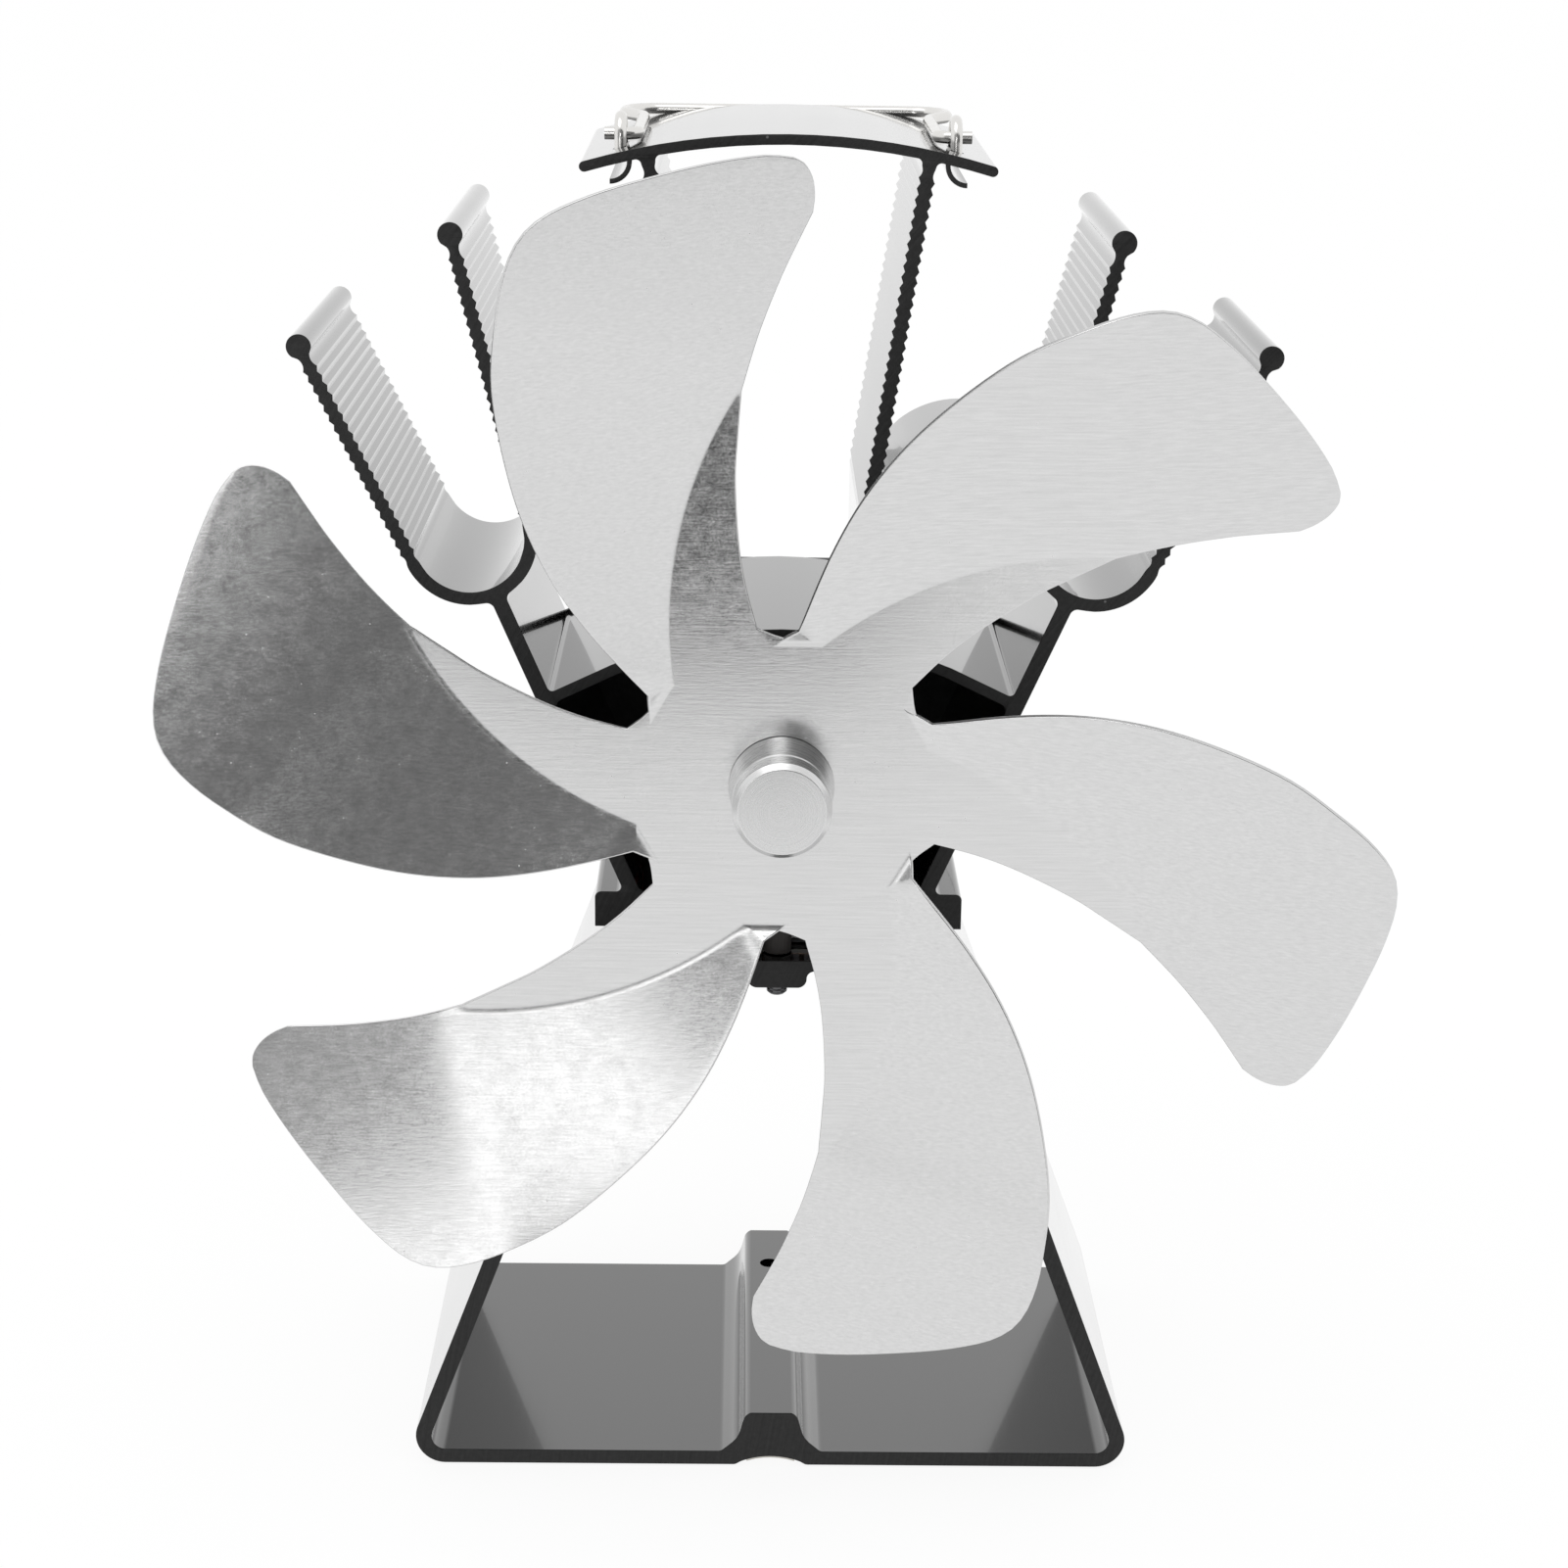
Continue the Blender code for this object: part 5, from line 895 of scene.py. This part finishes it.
def blade_mesh():
    """One blade and its share of the hub, finely divided at its bends."""
    along = CREASE_END - CREASE_ROOT
    side = Vector((-along.y, along.x)).normalized()
    crease = []
    for i in range(CREASE_ROWS + 1):
        share = i / CREASE_ROWS
        crease.append(CREASE_ROOT + along * share + side * crease_bow(along.length * share))
    right = crease + rail([CREASE_END, *map(sized, UPPER_EDGE)], TIP_ROWS + 1)[1:]
    left = rail([sized(GUSSET_OUTER), *map(sized, OUTER_EDGE)], len(right))
    gusset = [sized(GUSSET_INNER).lerp(left[0], i / GUSSET_ROWS) for i in range(GUSSET_ROWS)]
    right = [CREASE_ROOT] * GUSSET_ROWS + right
    left = gusset + left
    # Rows run from the gusset's foot and the crease to the outer edge, close together in the bend.
    rows = []
    for a, b in zip(right, left):
        near = [a.lerp(b, step * BEND_HALF / (b - a).length) for step in (0, 0.5, 1, 1.5, 2)]
        rows.append(near[:-1] + [near[-1].lerp(b, j / COLUMNS) for j in range(COLUMNS + 1)])
    first, last = rows[-2][0], rows[-2][-1]
    shares = [(point - first).length / (last - first).length for point in rows[-2]]
    corner = rail([*map(sized, reversed(TIP_CORNER))], CORNER_STEPS + 1)
    rows[-1] = [corner[round(CORNER_STEPS * share)] for share in shares]
    work = bmesh.new()
    grid = [[work.verts.new(pitched(point)) for point in row] for row in rows]
    for low, high in zip(grid, grid[1:]):
        for j in range(len(low) - 1):
            work.faces.new((low[j], low[j + 1], high[j + 1], high[j]))
    # The flat web between the crease and the blade's other edge.
    edge = rail([*map(sized, LOWER_EDGE), CREASE_END], CREASE_ROWS + 1)[:-1]
    edge = [work.verts.new((point.x, 0, point.y)) for point in edge]
    spine = [row[0] for row in grid[GUSSET_ROWS:GUSSET_ROWS + CREASE_ROWS + 1]]
    for i in range(CREASE_ROWS - 1):
        work.faces.new((edge[i], spine[i], spine[i + 1], edge[i + 1]))
    work.faces.new((edge[-1], spine[-2], spine[-1]))
    # The notch, a fan from the next blade's gusset, and the hub from there in to its bore.
    inner = sized(GUSSET_INNER)
    notch = rail([*map(sized, NOTCH)], NOTCH_ROWS + 1)[1:]
    notch = [work.verts.new((point.x, 0, point.y)) for point in notch]
    turn = math.tau / BLADES
    cos, sin = math.cos(turn), math.sin(turn)
    next_inner = Vector((inner.x * cos + inner.y * sin, inner.y * cos - inner.x * sin))
    corner = work.verts.new((next_inner.x, 0, next_inner.y))
    for a, b in zip([edge[0], *notch], notch):
        work.faces.new((corner, a, b))
    outline = [*reversed(grid[0][1:]), spine[0], edge[0], corner]
    bore = []
    for vertex in outline:
        toward = vertex.co.xz.normalized() * BORE_RADIUS
        bore.append(work.verts.new((toward.x, 0, toward.y)))
    for i in range(len(outline) - 1):
        work.faces.new((outline[i], outline[i + 1], bore[i + 1], bore[i]))
    bmesh.ops.remove_doubles(work, verts=work.verts, dist=TOUCHING)
    bmesh.ops.recalc_face_normals(work, faces=work.faces)
    if sum(face.normal.y * face.calc_area() for face in work.faces) > 0:
        bmesh.ops.reverse_faces(work, faces=work.faces)
    return meshed(work, "blade")


hatching, pen, given, gives = effect("polishing hatch", {"Spacing": 0.0004}, "Height")
scale = pen.math("DIVIDE", 1.0, given["Spacing"])
passes = []
for lean in (0.9, -0.7):  # of a pass of the belt, in radians
    turned = pen.add("ShaderNodeMapping", {
        "Vector": pen.place, "Rotation": (0, lean, 0), "Scale": (0.03, 1, 1)}).outputs[0]
    across = pen.add("ShaderNodeTexNoise", {"Vector": turned, "Scale": scale, "Detail": 1.0})
    passes.append(across.outputs["Fac"])
pen.join(pen.times(pen.plus(*passes), 0.5), gives["Height"])

rolling, pen, given, gives = effect("rolled grain", {"Length": 0.003, "Width": 0.0004}, "Streaks", "Mottle")
x, y, z = pen.parts()
squeezed = pen.times(x, pen.math("DIVIDE", given["Width"], given["Length"]))
pulled = pen.vector(squeezed, y, z)
scale = pen.math("DIVIDE", 1.0, given["Width"])
streaks = pen.add("ShaderNodeTexNoise", {"Vector": pulled, "Scale": scale, "Detail": 2.0})
pen.join(streaks.outputs["Fac"], gives["Streaks"])
pen.join(pen.plus(pen.times(pen.noise(320.0), 0.4), pen.times(pen.noise(2600.0), 0.6)), gives["Mottle"])

sheet, pen = metal_or_paint("rolled aluminium sheet", (0.7, 0.7, 0.7), 0.26, Metallic=1.0)
grain = pen.use(rolling)
hatch = pen.use(hatching)["Height"]
specks = pen.use(dust, Spacing=0.0024, Share=0.18)["Mask"]
rough = pen.plus(pen.between(grain["Streaks"], 0.14, 0.26), pen.between(grain["Mottle"], -0.15, 0.15))
pen.paint("Roughness", pen.plus(rough, pen.times(specks, 0.3)))
tone = pen.plus(pen.between(grain["Streaks"], 0.65, 0.73), pen.between(grain["Mottle"], -0.06, 0.06))
tone = pen.plus(tone, pen.between(hatch, -0.08, 0.08))
pen.grey(pen.plus(tone, pen.times(specks, 0.12)))
relief = pen.plus(grain["Streaks"], pen.times(grain["Mottle"], 0.6))
pen.bump(pen.plus(relief, pen.times(hatch, 0.6)), 0.13)

sheared, pen = metal_or_paint("sheared sheet edge", (0.62, 0.62, 0.62), 0.4, Metallic=1.0)
tear = pen.noise((2500.0, 300.0, 2500.0))
pen.bump(tear, 0.4)
pen.rough(tear, 0.28, 0.52)

spread, pen, given, gives = tree_of("blades round the hub", Count="Int", Weld="Float")
places = pen.add("GeometryNodeMeshLine", {"Count": given["Count"], "Offset": (0, 0, 0)})
step = pen.math("DIVIDE", math.tau, given["Count"])
angle = pen.times(pen.add("GeometryNodeInputIndex").outputs[0], step)
blades = pen.add("GeometryNodeInstanceOnPoints", {
    "Points": places.outputs[0], "Instance": given["Geometry"], "Rotation": pen.vector(0, angle, 0)})
real = pen.add("GeometryNodeRealizeInstances", {"Geometry": blades.outputs[0]})
welded = pen.add("GeometryNodeMergeByDistance", {"Geometry": real.outputs[0], "Distance": given["Weld"]})
ended = pen.add("GeometryNodeSetMaterial", {"Geometry": welded.outputs[0], "Material": sheet})
pen.join(ended.outputs[0], gives["Geometry"])
blank = bpy.data.objects.new("blank", blade_mesh())
blank.data.materials.append(sheet)
blank.data.materials.append(sheared)
with_tree(blank, spread, Count=BLADES, Weld=1e-5)
wall = blank.modifiers.new("wall", "SOLIDIFY")
wall.thickness = IMPELLER_WALL
wall.offset = -1
wall.material_offset_rim = 1
impeller = evaluated(blank)
work = bmesh.new()
work.from_mesh(impeller)
slit = sized(GUSSET_INNER).length
rims = []
for edge in work.edges:
    away = min(abs(vertex.co.xz.length - slit) for vertex in edge.verts)
    if len({face.material_index for face in edge.link_faces}) == 2 and away > SLIT_CLEAR:
        rims.append(edge)
bmesh.ops.bevel(work, geom=rims, offset=RIM_ROUND, segments=3, profile=0.5, affect="EDGES")
work.to_mesh(impeller)
work.free()
impeller.transform(Matrix.Translation((0, SHEET_FRONT, HUB_HEIGHT)))
shown("impeller_sheet", impeller, "rotor", "impeller", finishes=(sheet, sheared), turn=50)

# The hub: a knob turned from aluminium bar in front of the sheet, its spigot through the sheet's bore,
# and a collar behind the sheet that one set screw locks on the shaft.
KNOB_PROFILE = (
    (0.0, 0.0150), (0.0078, 0.0150), (0.0080, 0.01493), (0.0089, 0.0139), (0.00895, 0.0137),
    (0.00895, 0.0096), (0.0087, 0.0094), (0.0087, 0.0090), (0.0090, 0.0088), (0.0097, 0.0004),
    (0.0050, 0.0003), (0.0050, -0.0053), (0.0018, -0.0053), (0.0018, 0.0090), (0.0, 0.0090),
)
SET_HOLE_PROFILE = ((0, 0.012), (0.00155, 0.012), (0.00155, 0.0016), (0, 0.0016))
SET_HOLE_BEHIND = 0.0033  # the sheet's front
turned_bar, pen = metal_or_paint("turned aluminium", (0.72, 0.72, 0.72), 0.2, Metallic=1.0)
here = pen.use(around)
marks = rings(pen, pen.plus(here["Radius"], here["Depth"]), 0.00022)
broad = rings(pen, pen.plus(here["Radius"], pen.times(here["Depth"], 2.0)), 0.0009)
pen.bump(pen.plus(marks, broad), 0.12, 0.00003)
pen.rough(marks, 0.2, 0.34)
pen.grey(pen.between(broad, 0.67, 0.74))
hole = lathe(SET_HOLE_PROFILE, 32)
hole.transform(Matrix.Translation((0, SET_HOLE_BEHIND, 0)) @ Matrix.Rotation(math.radians(-90), 4, "X"))
knob = minus(lathe(KNOB_PROFILE, 128), hole)
knob.transform(Matrix.Translation((0, SHEET_FRONT, HUB_HEIGHT)))
shown("knob", knob, "rotor", "hub_knob", finishes=(turned_bar,), turn=20)
finished("hub_collar", turned_bar)
blackened, pen = metal_or_paint("blackened set screw", (0.08, 0.08, 0.085), 0.35, Metallic=1.0)
pen.rough(pen.noise(1500.0), 0.25, 0.45)
finished("hub_set_screw", blackened)

# The bail and its two staples are bent from bright drawn wire. The staples' feet are pressed through
# the top plate; the bail's turned-out ends pass under them and let it swing up.
wire, pen = metal_or_paint("bright drawn wire", (0.76, 0.75, 0.73), 0.16, Metallic=1.0)
pen.bump(pen.noise((2500.0, 25.0, 2500.0)), 0.12, 0.00003)
pen.rough(pen.noise(250.0), 0.1, 0.26)


def wire_mesh(points, radius):
    """A round wire along a line of points, its cut ends flat."""
    curve = bpy.data.curves.new("wire", "CURVE")
    curve.dimensions = "3D"
    curve.bevel_depth = radius
    curve.bevel_resolution = 6
    curve.use_fill_caps = True
    trace(curve, points)
    mesh = evaluated(bpy.data.objects.new("wire", curve))
    work = bmesh.new()
    work.from_mesh(mesh)
    bmesh.ops.remove_doubles(work, verts=work.verts, dist=TOUCHING)
    bmesh.ops.recalc_face_normals(work, faces=work.faces)
    work.to_mesh(mesh)
    work.free()
    return mesh


BEND_STEP = math.radians(5)


def bent_route(stops):
    """A line through stops of x, y and bend radius, its corners rounded."""
    points = [Vector(stops[0][:2])]
    for before, here, after in zip(stops, stops[1:], stops[2:]):
        corner, radius = Vector(here[:2]), here[2]
        into = (corner - Vector(before[:2])).normalized()
        out = (Vector(after[:2]) - corner).normalized()
        turn = into.angle(out)
        cut = radius * math.tan(turn / 2)
        middle = corner + (out - into).normalized() * (radius / math.cos(turn / 2))
        start = corner - into * cut - middle
        sign = 1 if into.x * out.y - into.y * out.x > 0 else -1
        steps = max(2, math.ceil(turn / BEND_STEP))
        for i in range(steps + 1):
            angle = sign * turn * i / steps
            points.append(middle + Matrix.Rotation(angle, 2) @ start)
    points.append(Vector(stops[-1][:2]))
    return points


STAPLE_WIRE = 0.0011
STAPLE_FOOT = 0.2617
STAPLE_SHOULDER = 0.26515  # height at which its legs end and its bend starts
BEND_STEPS = 36
for side, x in (("left", -STAPLE_X), ("right", STAPLE_X)):
    loop = [(x, SWING_Y - STAPLE_BEND, STAPLE_FOOT)]
    for i in range(BEND_STEPS + 1):
        angle = math.pi * (1 - i / BEND_STEPS)
        height = STAPLE_SHOULDER + STAPLE_BEND * math.sin(angle)
        loop.append((x, SWING_Y + STAPLE_BEND * math.cos(angle), height))
    loop.append((x, SWING_Y + STAPLE_BEND, STAPLE_FOOT))
    staple = wire_mesh(loop, STAPLE_WIRE)
    shown("staple_" + side, staple, "stand", "bail_staple_" + side, finishes=(wire,), turn=50)

BAIL_WIRE = 0.00115
BAIL_HEIGHT = 0.265696
BACK = 0.04895  # of its cross wire, behind the axis
half = (  # stops of X, Y and the bend's radius, from a turned-out end to the cross wire
    (0.0334, 0), (0.0273, 0, 0.0028), (0.0273, BACK - 0.016, 0.006), (0.0312, BACK - 0.009, 0.006),
    (0.0312, BACK, 0.0065),
)
stops = [*half, *((-x, y, *radius) for x, y, *radius in reversed(half))]
route = [(point.x, SWING_Y + point.y, BAIL_HEIGHT) for point in bent_route(stops)]
shown("bail", wire_mesh(route, BAIL_WIRE), "bail", "bail_handle", finishes=(wire,), turn=50)
